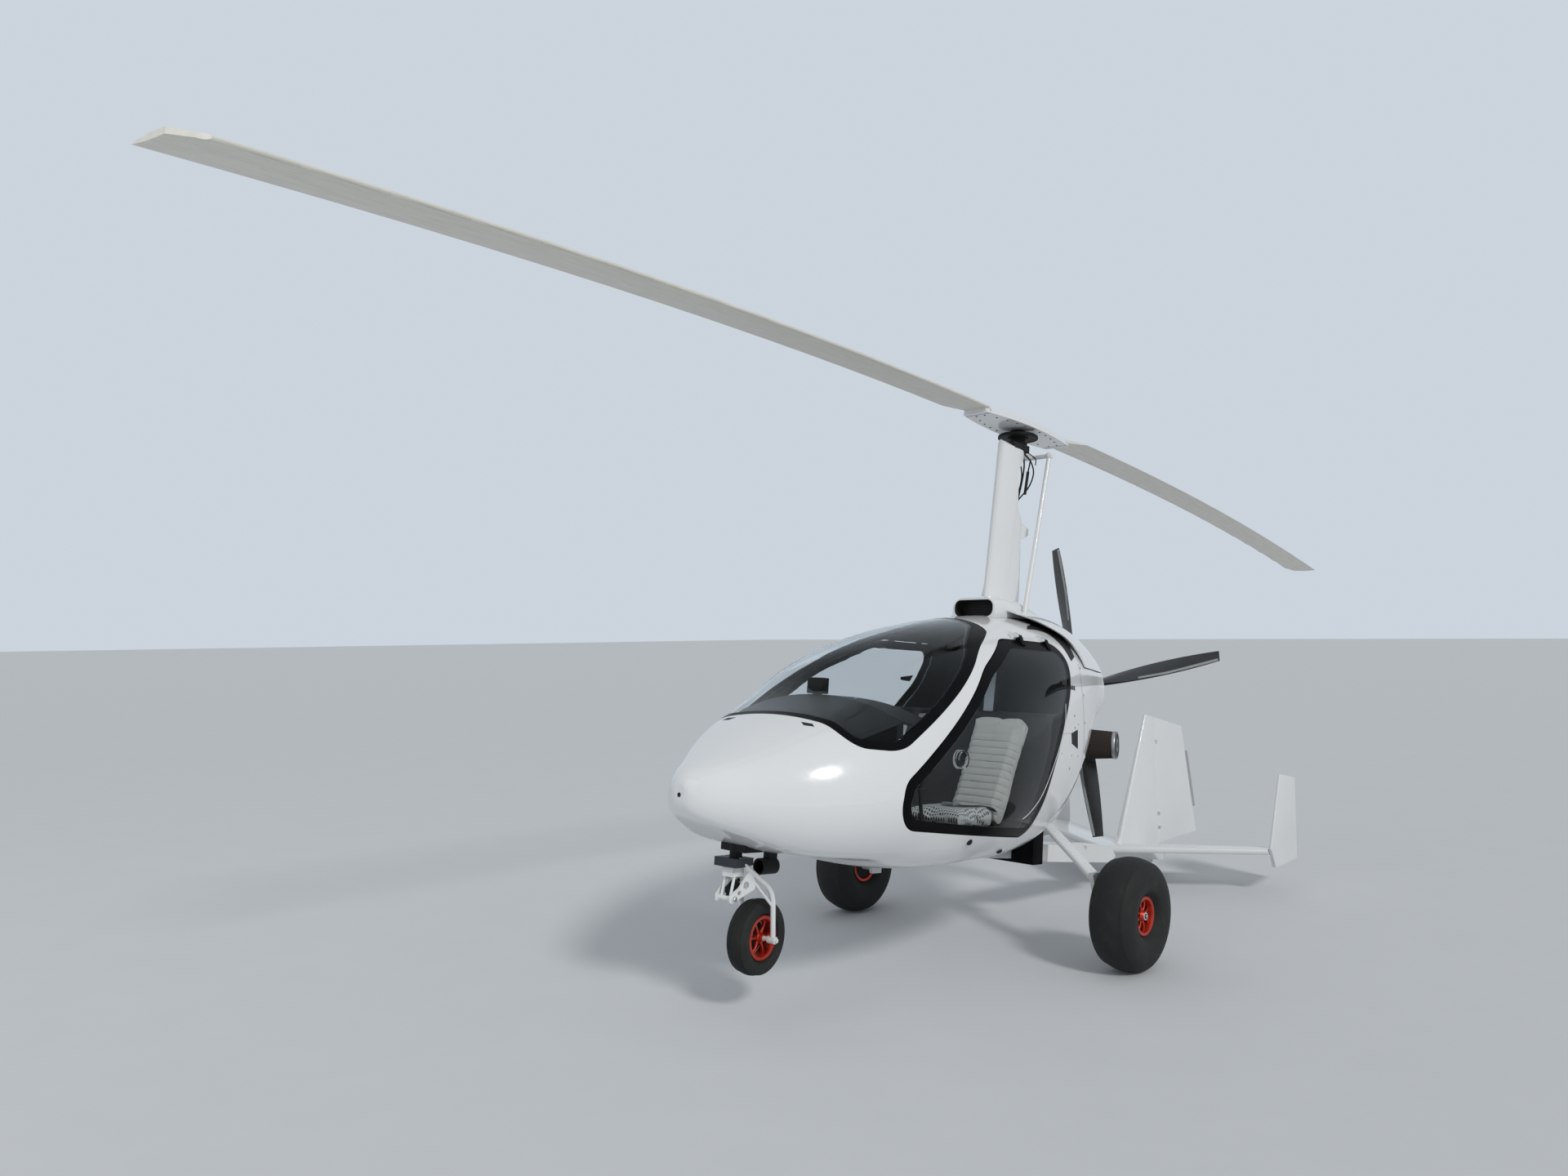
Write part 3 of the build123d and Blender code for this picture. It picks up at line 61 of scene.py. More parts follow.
# Places and sizes that several pieces share
HUB = (0, 201, 2672)
FAIRING_UP = 2745
PROPELLER = (931, 1341)
MAIN_WHEEL = (836, 0, 259)
MAIN_RADIUS = 259
MAIN_RIM = (90, 150)
NOSE_WHEEL = (0, -1592, 155)
NOSE_RADIUS = 155
NOSE_RIM = (92, 74)
STEER_AXIS_Y = -1765
STEERED = radians(7.6)
SEAT_X = 276
SIDES = ((-1, "starboard"), (1, "port"))

# Body and look of the small fixed pieces
BLACK = ("airframe", "black_plastic")
METAL = ("airframe", "grey_metal")
WHITE = ("airframe", "white_paint")


def at(x, y, z):
    """A point of the level frame, in the frame of the parked aircraft"""
    return LEVEL @ Vector((x / 1000, y / 1000, z / 1000))


def levelled(point):
    """The other way: a point of the parked frame, in millimetres of the level frame"""
    return (UNLEVEL @ point) * 1000


def put(name, data):
    """A new object in the scene"""
    made = bpy.data.objects.new(name, data)
    scene.collection.objects.link(made)
    return made


LOOKS = {}


class Look:
    """A Principled material, with short calls for the nodes in front of it"""

    def __init__(self, name, colour, rough, **values):
        self.mat = bpy.data.materials.new(name)
        self.mat.use_nodes = True
        self.tree = self.mat.node_tree
        self.shader = self.tree.nodes["Principled BSDF"]
        self.shader.inputs["Base Color"].default_value = (*colour, 1)
        self.shader.inputs["Roughness"].default_value = rough
        self.mat.diffuse_color = (*colour, 1)
        for key, value in values.items():
            self.shader.inputs[key.replace("_", " ").title().replace("Ior", "IOR")].default_value = value
        self.place = self.node("ShaderNodeTexCoord").outputs["Object"]
        LOOKS[name] = self

    def node(self, kind, **inputs):
        made = self.tree.nodes.new(kind)
        for key, value in inputs.items():
            self.feed(made.inputs[key.replace("_", " ")], value)
        return made

    def feed(self, socket, value):
        if isinstance(value, bpy.types.NodeSocket):
            self.tree.links.new(value, socket)
        else:
            socket.default_value = value

    def noise(self, scale, detail=4, rough=0.55, stretch=None, warp=0):
        where = self.stretched(stretch) if stretch else self.place
        values = {"Scale": scale, "Detail": detail, "Roughness": rough, "Distortion": warp}
        return self.node("ShaderNodeTexNoise", Vector=where, **values).outputs["Fac"]

    def stretched(self, scale, turn=(0, 0, 0)):
        made = self.node("ShaderNodeMapping", Vector=self.place)
        made.inputs["Scale"].default_value = scale
        made.inputs["Rotation"].default_value = turn
        return made.outputs["Vector"]

    def level(self, value, low, high, to_low=0, to_high=1):
        made = self.node("ShaderNodeMapRange", From_Min=low, From_Max=high, To_Min=to_low, To_Max=to_high)
        self.tree.links.new(value, made.inputs["Value"])
        return made.outputs["Result"]

    def blend(self, share, low, high):
        made = self.tree.nodes.new("ShaderNodeMix")
        made.data_type = "RGBA"
        self.feed(made.inputs[0], share)
        for socket, value in ((made.inputs[6], low), (made.inputs[7], high)):
            self.feed(socket, (*value, 1) if isinstance(value, tuple) else value)
        return made.outputs[2]

    def maths(self, kind, a, b=0):
        made = self.tree.nodes.new("ShaderNodeMath")
        made.operation = kind
        self.feed(made.inputs[0], a)
        self.feed(made.inputs[1], b)
        return made.outputs[0]

    def axis(self, index):
        made = self.node("ShaderNodeSeparateXYZ")
        self.tree.links.new(self.place, made.inputs[0])
        return made.outputs[index]

    def wave(self, scale, turn="X", warp=0, vector=None, kind="SIN"):
        made = self.node("ShaderNodeTexWave", Vector=vector or self.place, Scale=scale, Distortion=warp)
        made.wave_type = "BANDS"
        made.bands_direction = turn
        made.wave_profile = kind
        return made.outputs["Fac"]

    def colour(self, socket):
        self.feed(self.shader.inputs["Base Color"], socket)

    def rough(self, socket, *span):
        """Roughness from a pattern, with the spans of level() if there are any"""
        self.feed(self.shader.inputs["Roughness"], self.level(socket, *span) if span else socket)

    def mix(self, share, low, high, stain=None, *span_and_tone):
        """Colour between two tones by a pattern, with a stain over it"""
        made = self.blend(share, low, high)
        if stain:
            *span, tone = span_and_tone
            made = self.blend(self.level(stain, *span), made, tone)
        self.colour(made)

    def bump(self, height, strength, distance=0.001):
        made = self.node("ShaderNodeBump", Strength=strength, Distance=distance)
        self.tree.links.new(height, made.inputs["Height"])
        if self.shader.inputs["Normal"].is_linked:
            self.tree.links.new(self.shader.inputs["Normal"].links[0].from_socket, made.inputs["Normal"])
        self.tree.links.new(made.outputs["Normal"], self.shader.inputs["Normal"])


DUST = (0.52, 0.49, 0.44)


def gloss(name, colour, rough, coat, dirt_top=0.62):
    """Sprayed gloss paint: faint orange peel, and dust that gathers low down"""
    look = Look(name, colour, rough, coat_weight=coat, coat_roughness=0.04)
    patch = look.noise(1.7, 5)
    fine = look.noise(46, 3)
    low = look.level(look.axis(2), dirt_top, 0.3)
    speck = look.level(look.noise(95, 2), 0.6, 0.78)
    share = look.maths("MULTIPLY", low, look.level(patch, 0.3, 0.8, 0.03, 0.2))
    speck = look.maths("MULTIPLY", low, look.maths("MULTIPLY", speck, 0.1))
    share = look.maths("ADD", share, speck)
    shade = tuple(c * 0.965 for c in colour)
    look.colour(look.blend(share, look.blend(look.level(patch, 0.35, 0.7), colour, shade), DUST))
    peel = look.level(fine, 0.3, 0.7, rough * 0.8, rough * 1.3)
    look.rough(look.maths("ADD", peel, look.maths("MULTIPLY", share, 0.4)))
    look.bump(look.noise(260, 2), 0.018, 0.0006)


def mottled(name, colour, rough, patch, low, high, grain, span, bump, **values):
    """Plain stuff: two tones in soft patches, and a fine grain in the surface"""
    look = Look(name, colour, rough, **values)
    fine = look.noise(*grain)
    look.mix(look.noise(*patch), low, high)
    look.rough(fine, 0.3, 0.7, *span)
    look.bump(fine, *bump)


def make_looks():
    gloss("gloss_white", (0.83, 0.84, 0.85), 0.16, 0.55)
    gloss("white_paint", (0.8, 0.81, 0.81), 0.28, 0.25, dirt_top=0.45)

    blade = Look("blade_white", (0.78, 0.76, 0.69), 0.34, coat_weight=0.15, coat_roughness=0.2)
    streak = blade.noise(9, 5, stretch=(9, 0.8, 1))
    speck = blade.level(blade.noise(120, 2), 0.62, 0.8)
    base = blade.blend(blade.level(streak, 0.3, 0.75), (0.8, 0.78, 0.71), (0.7, 0.68, 0.61))
    blade.colour(blade.blend(blade.maths("MULTIPLY", speck, 0.35), base, (0.34, 0.32, 0.28)))
    blade.rough(streak, 0.2, 0.8, 0.28, 0.44)
    blade.bump(blade.noise(210, 2), 0.03, 0.0006)

    black = Look("black_paint", (0.006, 0.006, 0.007), 0.25, specular_ior_level=0.02)
    haze = black.noise(7, 5)
    black.mix(haze, (0.004, 0.004, 0.005), (0.01, 0.01, 0.011))
    black.rough(haze, 0.3, 0.8, 0.16, 0.3)
    black.bump(black.noise(240, 2), 0.02, 0.0006)

    carbon = Look("carbon_black", (0.02, 0.02, 0.022), 0.3, coat_weight=0.35, coat_roughness=0.12)
    slant = carbon.stretched((1, 1, 1), (0, 0.78, 0))
    weave = carbon.maths("MULTIPLY", *(carbon.wave(150, way, 0.4, slant, "SAW") for way in "XZ"))
    scuff = carbon.noise(14, 6)
    carbon.mix(weave, (0.016, 0.016, 0.018), (0.04, 0.041, 0.044),
               scuff, 0.55, 0.85, 0, 0.4, (0.085, 0.083, 0.08))
    carbon.rough(scuff, 0.3, 0.8, 0.24, 0.46)
    carbon.bump(weave, 0.05, 0.0005)

    metal = Look("grey_metal", (0.42, 0.43, 0.44), 0.36, metallic=0.9)
    brush = metal.noise(60, 4, stretch=(14, 1, 1))
    metal.mix(brush, (0.34, 0.35, 0.36), (0.52, 0.53, 0.54),
              metal.noise(9, 5), 0.5, 0.8, 0, 0.5, (0.16, 0.15, 0.14))
    metal.rough(brush, 0.2, 0.8, 0.26, 0.5)
    metal.bump(brush, 0.06, 0.0004)

    red = Look("red_anodised", (0.55, 0.045, 0.022), 0.3, metallic=0.75, coat_weight=0.2)
    brush = red.noise(70, 4)
    red.mix(brush, (0.46, 0.03, 0.015), (0.66, 0.065, 0.032),
            red.noise(18, 5), 0.52, 0.85, 0, 0.55, (0.16, 0.06, 0.04))
    red.rough(brush, 0.2, 0.8, 0.24, 0.42)
    red.bump(brush, 0.05, 0.0004)

    tyre = Look("tyre", (0.02, 0.02, 0.02), 0.72, specular_ior_level=0.3)
    dust = tyre.noise(16, 6, 0.62)
    fine = tyre.noise(300, 3)
    tyre.mix(dust, (0.012, 0.012, 0.012), (0.026, 0.026, 0.025),
             dust, 0.58, 0.9, 0, 0.3, (0.085, 0.078, 0.069))
    tyre.rough(fine, 0.3, 0.7, 0.62, 0.85)
    tyre.bump(fine, 0.16, 0.0006)
    tyre.bump(tyre.noise(38, 4), 0.1, 0.001)

    glass = Look("glass", (0.9, 0.94, 0.96), 0, transmission_weight=1, ior=1.08, coat_weight=0.12)
    glass.rough(glass.noise(6, 6, 0.6, warp=0.6), 0.55, 0.95, 0, 0.03)

    mottled("black_plastic", (0.018, 0.018, 0.019), 0.45, (11, 4), (0.012, 0.012, 0.013),
            (0.026, 0.026, 0.025), (420, 3), (0.38, 0.6), (0.2, 0.0005), specular_ior_level=0.12)
    mottled("interior", (0.034, 0.033, 0.032), 0.78, (7, 4), (0.026, 0.025, 0.024),
            (0.046, 0.045, 0.043), (380, 4), (0.68, 0.9), (0.25, 0.0006), specular_ior_level=0.3)
    mottled("lining", (0.04, 0.038, 0.037), 0.92, (9, 4), (0.032, 0.03, 0.029),
            (0.054, 0.051, 0.049), (500, 4), (0.85, 0.98), (0.3, 0.0007), specular_ior_level=0.2)

    seat = Look("seat", (0.5, 0.48, 0.44), 0.86, sheen_weight=0.25, sheen_roughness=0.5)
    weave = seat.maths("ADD", *(seat.maths("MULTIPLY", seat.wave(230, way, 0.8), 0.5) for way in "XZ"))
    seat.mix(weave, (0.54, 0.505, 0.45), (0.68, 0.645, 0.585),
             seat.noise(13, 5), 0.45, 0.8, 0, 0.35, (0.43, 0.4, 0.355))
    seat.rough(weave, 0, 1, 0.94, 0.8)
    seat.bump(weave, 0.25, 0.0006)

    clamp = Look("steering_clamp", (0.8, 0.81, 0.81), 0.34)
    top = at(0, -1775, 456).z
    dark = clamp.level(clamp.axis(2), top - 0.0005, top + 0.0005)
    haze = clamp.noise(40, 5)
    base = clamp.blend(haze, (0.74, 0.75, 0.75), (0.84, 0.85, 0.85))
    clamp.colour(clamp.blend(dark, base, (0.02, 0.025, 0.034)))
    clamp.rough(haze, 0.3, 0.8, 0.26, 0.44)
    clamp.bump(clamp.noise(220, 2), 0.03, 0.0006)

    pale = Look("pale_grey", (0.36, 0.37, 0.38), 0.4)
    haze = pale.noise(12, 4)
    pale.mix(haze, (0.33, 0.34, 0.35), (0.4, 0.41, 0.42))
    pale.rough(haze, 0.3, 0.8, 0.32, 0.5)

    cloth = Look("perforated", (0.5, 0.49, 0.46), 0.7)
    spots = []
    for index in (0, 1):
        cell = cloth.maths("FRACT", cloth.maths("MULTIPLY", cloth.axis(index), 72))
        away = cloth.maths("SUBTRACT", cell, 0.5)
        spots.append(cloth.maths("MULTIPLY", away, away))
    hole = cloth.level(cloth.maths("ADD", *spots), 0.07, 0.11, 1, 0)
    haze = cloth.noise(13, 5)
    base = cloth.blend(haze, (0.58, 0.555, 0.51), (0.7, 0.675, 0.63))
    cloth.colour(cloth.blend(hole, base, (0.035, 0.034, 0.032)))
    cloth.rough(haze, 0.3, 0.8, 0.62, 0.8)
    cloth.bump(cloth.maths("SUBTRACT", 1, hole), 0.4, 0.0008)

    web = Look("webbing", (0.03, 0.03, 0.032), 0.85)
    rib = web.wave(320, "DIAGONAL", 0.5)
    web.mix(rib, (0.02, 0.02, 0.021), (0.05, 0.05, 0.052))
    web.rough(web.noise(30, 4), 0.3, 0.8, 0.75, 0.92)
    web.bump(rib, 0.3, 0.0005)

    filt = Look("filter", (0.045, 0.033, 0.026), 0.82)
    fold = filt.noise(160, 3)
    filt.mix(fold, (0.018, 0.013, 0.01), (0.044, 0.033, 0.026))
    filt.rough(fold, 0.3, 0.7, 0.72, 0.92)
    filt.bump(fold, 0.35, 0.0008)


make_looks()

# Looks that the record has no slot of their own for, and the slot each takes its finish from
KIN = {
    "lining": "interior", "pale_grey": "grey_metal", "perforated": "seat", "webbing": "interior",
    "steering_clamp": "white_paint",
}


def dress(ob, look):
    ob.data.materials.clear()
    ob.data.materials.append(LOOKS[look].mat)
    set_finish(ob, KIN.get(look, look))
    return ob


BY_SLOT = {
    "blade_white": ["rotor_blade_front", "rotor_blade_rear"],
    "white_paint": [
        "control_rods", "gear_legs", "keel_tube", "nose_fork", "tail_wheel_fork", "main_axles",
    ],
    "steering_clamp": ["nose_leg_yoke"],
    # gear_socket is black: its darkness is partly the part's own black and partly painted shade under the body
    # at the gear root
    "black_paint": ["door_frame_port", "door_frame_starboard", "windscreen_border", "gear_socket"],
    "carbon_black": ["propeller_blades", "propeller_hub", "air_filter_cap"],
    "black_plastic": [
        "belly_duct", "instrument_panel", "pedals", "control_sticks", "nose_shock", "rotor_head",
        "nose_gear_bracket", "rotor_ring_gear",
    ],
    "grey_metal": ["rotor_hub_bar", "engine_block", "mast_tube"],
    "pale_grey": ["trim_tab"],
    "red_anodised": ["main_rim_port", "main_rim_starboard", "nose_rim"],
    "tyre": ["main_tyre_port", "main_tyre_starboard", "nose_tyre", "tail_wheel"],
    "glass": ["windscreen", "door_pane_port", "door_pane_starboard", "door_vent_port", "door_vent_starboard"],
    "interior": ["firewall", "cabin_floor", "seat_bench"],
    "seat": ["seat_back_port", "seat_back_starboard", "seat_cushion_port", "seat_cushion_starboard"],
    "filter": ["air_filter"],
}
for slot_name, names in BY_SLOT.items():
    for node_name in names:
        dress(NODES[node_name], slot_name)
for node_name, node in NODES.items():
    if "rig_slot" not in node:
        dress(node, "gloss_white")


# The camera stands at the photograph's angle
LENS_PX = 1356.67
PHOTO_W = 1920
CAMERA = Vector((3.2841, -5.3165, 1.5822))
YAW = 0.76429
PITCH = 0.03921
ROLL = -0.00842
PHOTO_H = 1440


def camera_axes():
    forward = Vector((-sin(YAW) * cos(PITCH), cos(YAW) * cos(PITCH), sin(PITCH)))
    right = Vector((cos(YAW), sin(YAW), 0))
    up = right.cross(forward)
    return forward, cos(ROLL) * right + sin(ROLL) * up, cos(ROLL) * up - sin(ROLL) * right


# Pieces added to the frame. Their points are millimetres in the level frame.
def piece(name, verts, faces, body, slot, edge=35, raw=False):
    """A mesh piece with smooth faces, riding on a body of the frame"""
    mesh = bpy.data.meshes.new(name)
    mesh.from_pydata(verts if raw else [at(*v) for v in verts], [], faces)
    made = bmesh.new()
    made.from_mesh(mesh)
    bmesh.ops.remove_doubles(made, verts=made.verts, dist=1e-6)
    bmesh.ops.recalc_face_normals(made, faces=made.faces)
    made.to_mesh(mesh)
    made.free()
    mesh.shade_smooth()
    mesh.set_sharp_from_angle(angle=radians(edge))
    ob = put(name, mesh)
    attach(ob, body)
    return dress(ob, slot)


def band(rows, wide, start=0, ring=True):
    """Faces between rows of points, each row this many points wide; a ring's row ends meet"""
    faces = []
    for a in range(start, start + (rows - 1) * wide, wide):
        for k in range(wide if ring else wide - 1):
            m = (k + 1) % wide
            faces.append((a + k, a + m, a + wide + m, a + wide + k))
    return faces


def across(direction):
    """Two directions square to this one"""
    d = Vector(direction).normalized()
    first = d.orthogonal().normalized() if abs(d.x) < 0.9 else Vector((0, 1, 0))
    second = d.cross(first).normalized()
    return d, second.cross(d).normalized(), second


def turned(name, base, direction, rows, body, slot, steps=96, closed=False,
           shape=None, edge=35, place=None):
    """A turned piece: rows of (distance along the axis, radius)"""
    d, u, v = across(direction)
    verts, faces = [], []
    for i in range(steps):
        a = tau * i / steps
        for k, (t, r) in enumerate(rows):
            r = shape(a, t, r) if shape else r
            p = Vector(base) + d * t + (u * cos(a) + v * sin(a)) * r
            verts.append(place(*p) if place else p)
    n = len(rows)
    last = n if closed else n - 1
    for i in range(steps):
        j = (i + 1) % steps
        for k in range(last):
            m = (k + 1) % n
            faces.append((i * n + k, j * n + k, j * n + m, i * n + m))
    return piece(name, verts, faces, body, slot, edge)


def smooth_path(points, count):
    """A smooth line through the points, count steps to each span"""
    pts = [Vector(p) for p in points]
    pts = [2 * pts[0] - pts[1]] + pts + [2 * pts[-1] - pts[-2]]
    line = []
    for i in range(1, len(pts) - 2):
        for k in range(count):
            t = k / count
            a, b, c, d = pts[i - 1:i + 3]
            bend, twist = 2 * a - 5 * b + 4 * c - d, 3 * b - a - 3 * c + d
            line.append(0.5 * ((2 * b) + (c - a) * t + bend * t * t + twist * t ** 3))
    return line + [pts[-2]]


def heading(line, i):
    """The way a line runs at its point i"""
    return (line[min(i + 1, len(line) - 1)] - line[max(i - 1, 0)]).normalized()


def hose(name, points, radius, body, slot, count=8, sides=12, place=None):
    """A round line along a smooth path"""
    line = smooth_path(points, count) if count > 1 else [Vector(p) for p in points]
    verts = []
    side = None
    for i, p in enumerate(line):
        d = heading(line, i)
        side = d.orthogonal().normalized() if side is None else (side - d * side.dot(d)).normalized()
        up = d.cross(side)
        for k in range(sides):
            a = tau * k / sides
            q = p + (side * cos(a) + up * sin(a)) * radius
            verts.append(place(*q) if place else q)
    faces = band(len(line), sides) + [tuple(range(sides))]
    faces.append(tuple((len(line) - 1) * sides + k for k in range(sides)))
    return piece(name, verts, faces, body, slot)


def soft_box(name, low, high, body, slot, bevel=4):
    """A box with rounded edges"""
    made = bmesh.new()
    bmesh.ops.create_cube(made, size=1)
    for vert in made.verts:
        for k in range(3):
            vert.co[k] = low[k] if vert.co[k] < 0 else high[k]
    bmesh.ops.bevel(made, geom=made.edges[:], offset=bevel, segments=3, profile=0.5, affect="EDGES")
    verts = [tuple(v.co) for v in made.verts]
    index = {v: i for i, v in enumerate(made.verts)}
    faces = [tuple(index[v] for v in f.verts) for f in made.faces]
    made.free()
    return piece(name, verts, faces, body, slot)


def steered(x, y, z):
    """The nose leg is turned to port as it stands"""
    dy = y - STEER_AXIS_Y
    side = x * cos(STEERED) - dy * sin(STEERED)
    return side, STEER_AXIS_Y + x * sin(STEERED) + dy * cos(STEERED), z


def node_tree(*names):
    """The solids of some nodes, ready to be hit by a ray"""
    verts, faces = [], []
    for name in names:
        start = len(verts)
        mesh = NODES[name].data
        verts += [v.co.copy() for v in mesh.vertices]
        faces += [tuple(start + i for i in f.vertices) for f in mesh.polygons]
    return BVHTree.FromPolygons(verts, faces)


def lifted(hit, ray, lift):
    """Where a ray met the skin, lifted off it, and the way the skin faces there"""
    place, normal = hit[:2]
    if place is None:
        return None
    if normal.dot(ray) > 0:
        normal = -normal
    return place + normal * (lift / 1000), normal


def on_skin(tree, start, aim, lift=1):
    """Where a ray from start towards aim, in the level frame, meets the skin"""
    a, b = at(*start), at(*aim)
    return lifted(tree.ray_cast(a, (b - a).normalized()), b - a, lift)


def seen(tree, px, py, lift=1):
    """The place on the skin that shows at a pixel of the photograph"""
    forward, right, up = camera_axes()
    ray = forward * LENS_PX + right * (px - PHOTO_W / 2) - up * (py - PHOTO_H / 2)
    return lifted(tree.ray_cast(CAMERA, ray.normalized()), ray, lift)


def flipped(hits, side):
    """The same places on the starboard side"""
    if side > 0:
        return hits
    return [(Vector((-p.x, p.y, p.z)), Vector((-n.x, n.y, n.z))) for p, n in hits]


def twins(name, found, bodies):
    """Name, places and body of a piece on the skin, to port and to starboard"""
    yield name + "_port", found, bodies[0]
    yield name + "_starboard", flipped(found, -1), bodies[1]


def skin_plate(name, tree, pixels, look, lift=1.5, deep=6, bodies=("airframe", "airframe")):
    """A thin plate on the skin, its corners at pixels of the photograph, and its twin to starboard"""
    found = [h for h in (seen(tree, px, py, lift) for px, py in pixels) if h]
    for name, hits, body in twins(name, found, bodies):
        n = len(hits)
        verts = [p for p, _ in hits] + [p - m * (deep / 1000) for p, m in hits]
        faces = [tuple(range(n)), tuple(range(2 * n - 1, n - 1, -1))]
        faces += [(k, n + k, n + (k + 1) % n, (k + 1) % n) for k in range(n)]
        piece(name, verts, faces, body, look, raw=True)


def skin_track(name, tree, pixels, width, look, lift=0.6, count=6, bodies=("airframe", "airframe")):
    """A narrow raised line on the skin through pixels of the photograph, and its twin to starboard"""
    path = smooth_path([(px, py, 0) for px, py in pixels], count)
    found = [h for h in (seen(tree, p.x, p.y, lift) for p in path) if h]
    for name, hits, body in twins(name, found, bodies):
        verts, faces = [], []
        for i, (p, n) in enumerate(hits):
            d = hits[min(i + 1, len(hits) - 1)][0] - hits[max(i - 1, 0)][0]
            half = d.cross(n).normalized() * (width / 2000)
            low = n * (lift * 1.5 / 1000)
            verts += [p + half - low, p + half * 0.6, p - half * 0.6, p - half - low]
        for i in range(len(hits) - 1):
            if (hits[i + 1][0] - hits[i][0]).length < 0.1:
                faces += band(2, 4, 4 * i, False)
        piece(name, verts, faces, body, look, raw=True)


def skin_line(name, tree, starts, aims, width, body, slot, lift=0.5):
    """A flat strip laid on the skin along the points that the rays meet"""
    hits = [on_skin(tree, a, b, lift) for a, b in zip(starts, aims)]
    hits = [h for h in hits if h]
    verts, faces = [], []
    for i, (p, n) in enumerate(hits):
        d = hits[min(i + 1, len(hits) - 1)][0] - hits[max(i - 1, 0)][0]
        side = d.cross(n).normalized() * (width / 2000)
        verts += [p + side, p - side]
    for i in range(len(hits) - 1):
        if (hits[i + 1][0] - hits[i][0]).length < 0.12:
            faces += band(2, 2, 2 * i, False)
    return piece(name, verts, faces, body, slot, raw=True)


def studs(name, spots, radius, height, body, slot, sides=12):
    """Low domed heads, each at a (place, normal) in the frame"""
    verts, faces = [], []
    for place, normal in spots:
        d, u, v = across(normal)
        start = len(verts)
        for lift, share in ((-0.3, 1), (0.45, 0.97), (0.9, 0.6)):
            for k in range(sides):
                a = tau * k / sides
                out = (u * cos(a) + v * sin(a)) * (share * radius / 1000)
                verts.append(place + d * (lift * height / 1000) + out)
        faces += band(3, sides, start)
        faces.append(tuple(start + 2 * sides + k for k in range(sides)))
    return piece(name, verts, faces, body, slot, raw=True)


# Wheels
def tyre_rows(radius, width, rim_r, rim_w, grooves):
    """Outside and bead of a balloon tyre, with grooves cut round the tread"""
    w, rise = width / 2, radius - rim_r
    bead = rim_w / 2 - 7.5
    outer = [(bead, rim_r - 11), (bead, rim_r + 2), (0.9 * w, rim_r + 0.16 * rise)]
    outer += [(0.985 * w, rim_r + 0.36 * rise)]
    outer += [(w, rim_r + 0.5 * rise), (0.965 * w, rim_r + 0.66 * rise), (0.87 * w, rim_r + 0.8 * rise)]
    outer += [(0.74 * w, rim_r + 0.895 * rise), (0.62 * w, radius * 0.945)]
    outer = [(x, z, 0) for x, z in outer]
    line = smooth_path(outer, 5)
    rows = [(p.x, p.y) for p in line]
    edge = 0.62 * w
    count = 60
    for k in range(1, count + 1):
        x = edge * (1 - k / count)
        r = radius * (1 - 0.055 * (x / edge) ** 2)
        for g, half, deep in grooves:
            away = abs(x - g)
            if away < half:
                r -= deep * (1 - (away / half) ** 4)
        rows.append((x, r))
    return [(-x, r) for x, r in rows[:-1]] + [(x, r) for x, r in reversed(rows)]


def make_rim(name, centre, radius, width, hub, hub_out, bore, spokes, face, body, place=None):
    """A red wheel: rolled lips, barrel, spokes that widen to the hub, and its hub"""
    half, seat = width / 2, radius - 12
    inner = half - 7
    rows = [(-half, radius - 4), (-half + 1.5, radius - 1), (-half + 4, radius), (-inner, radius - 2)]
    rows += [(-inner, seat), (-inner + 8, seat - 1), (0, seat - 2), (inner - 8, seat - 1), (inner, seat)]
    rows += [(inner, radius - 2), (half - 4, radius), (half - 1.5, radius - 1), (half, radius - 4)]
    rows += [(half - 2, seat - 3), (half - 10, seat - 7), (0, seat - 9), (-half + 10, seat - 7)]
    rows += [(-half + 2, seat - 3)]
    rim = turned(name, centre, (1, 0, 0), rows, body, "red_anodised", 96, True, place=place)
    hub_rows = [(face - 14, bore), (face - 14, hub), (face + 8, hub), (face + 12, hub - 3)]
    hub_rows += [(hub_out, hub - 6), (hub_out + 2, hub - 9), (hub_out + 2, bore)]
    turned(name + "_hub", centre, (1, 0, 0), hub_rows, body, "red_anodised", 64, place=place)
    verts, faces = [], []
    reach = seat - 4 - (hub - 3)
    for i in range(spokes):
        a = tau * (i + 0.5) / spokes
        out, side = Vector((0, sin(a), cos(a))), Vector((0, cos(a), -sin(a)))
        start = len(verts)
        stations = 7
        for k in range(stations):
            t = k / (stations - 1)
            r = hub - 3 + reach * t
            wide = 8.5 - 4.5 * sin(pi * min(1, t * 1.15)) + 3 * t ** 4
            deep = 7 - 2.5 * t
            bow = face - 2 + 4 * sin(pi * t)
            for s, f in ((1, 1), (-1, 1), (-1, -1), (1, -1)):
                p = Vector(centre) + out * r + side * (s * wide) + Vector((bow + f * deep, 0, 0))
                verts.append(place(*p) if place else p)
        faces += band(stations, 4, start)
    made = piece(name + "_spokes", verts, faces, body, "red_anodised", 60)
    soften = made.modifiers.new("soften", "BEVEL")
    soften.width = 0.0015
    soften.segments = 2
    # The black disc inside the rim, behind the spokes, is painted shade that darkens the openings between the
    # spokes
    shade_disc = [(-half + 16, bore + 2), (-half + 16, seat - 10), (-half + 13, seat - 9), (-half + 13, bore + 2)]
    turned(name + "_back", centre, (1, 0, 0), shade_disc, body, "black_plastic", 64, place=place)
    return rim


def mirror_piece(ob, name, body, slot):
    """The same piece on the starboard side"""
    mesh = ob.data.copy()
    mesh.name = name
    made = bmesh.new()
    made.from_mesh(mesh)
    for vert in made.verts:
        vert.co.x = -vert.co.x
    bmesh.ops.reverse_faces(made, faces=made.faces)
    made.to_mesh(mesh)
    made.free()
    twin = put(name, mesh)
    for old in ob.modifiers:
        new = twin.modifiers.new(old.name, old.type)
        if old.type == "BEVEL":
            new.width, new.segments = old.width, old.segments
    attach(twin, body)
    return dress(twin, slot)


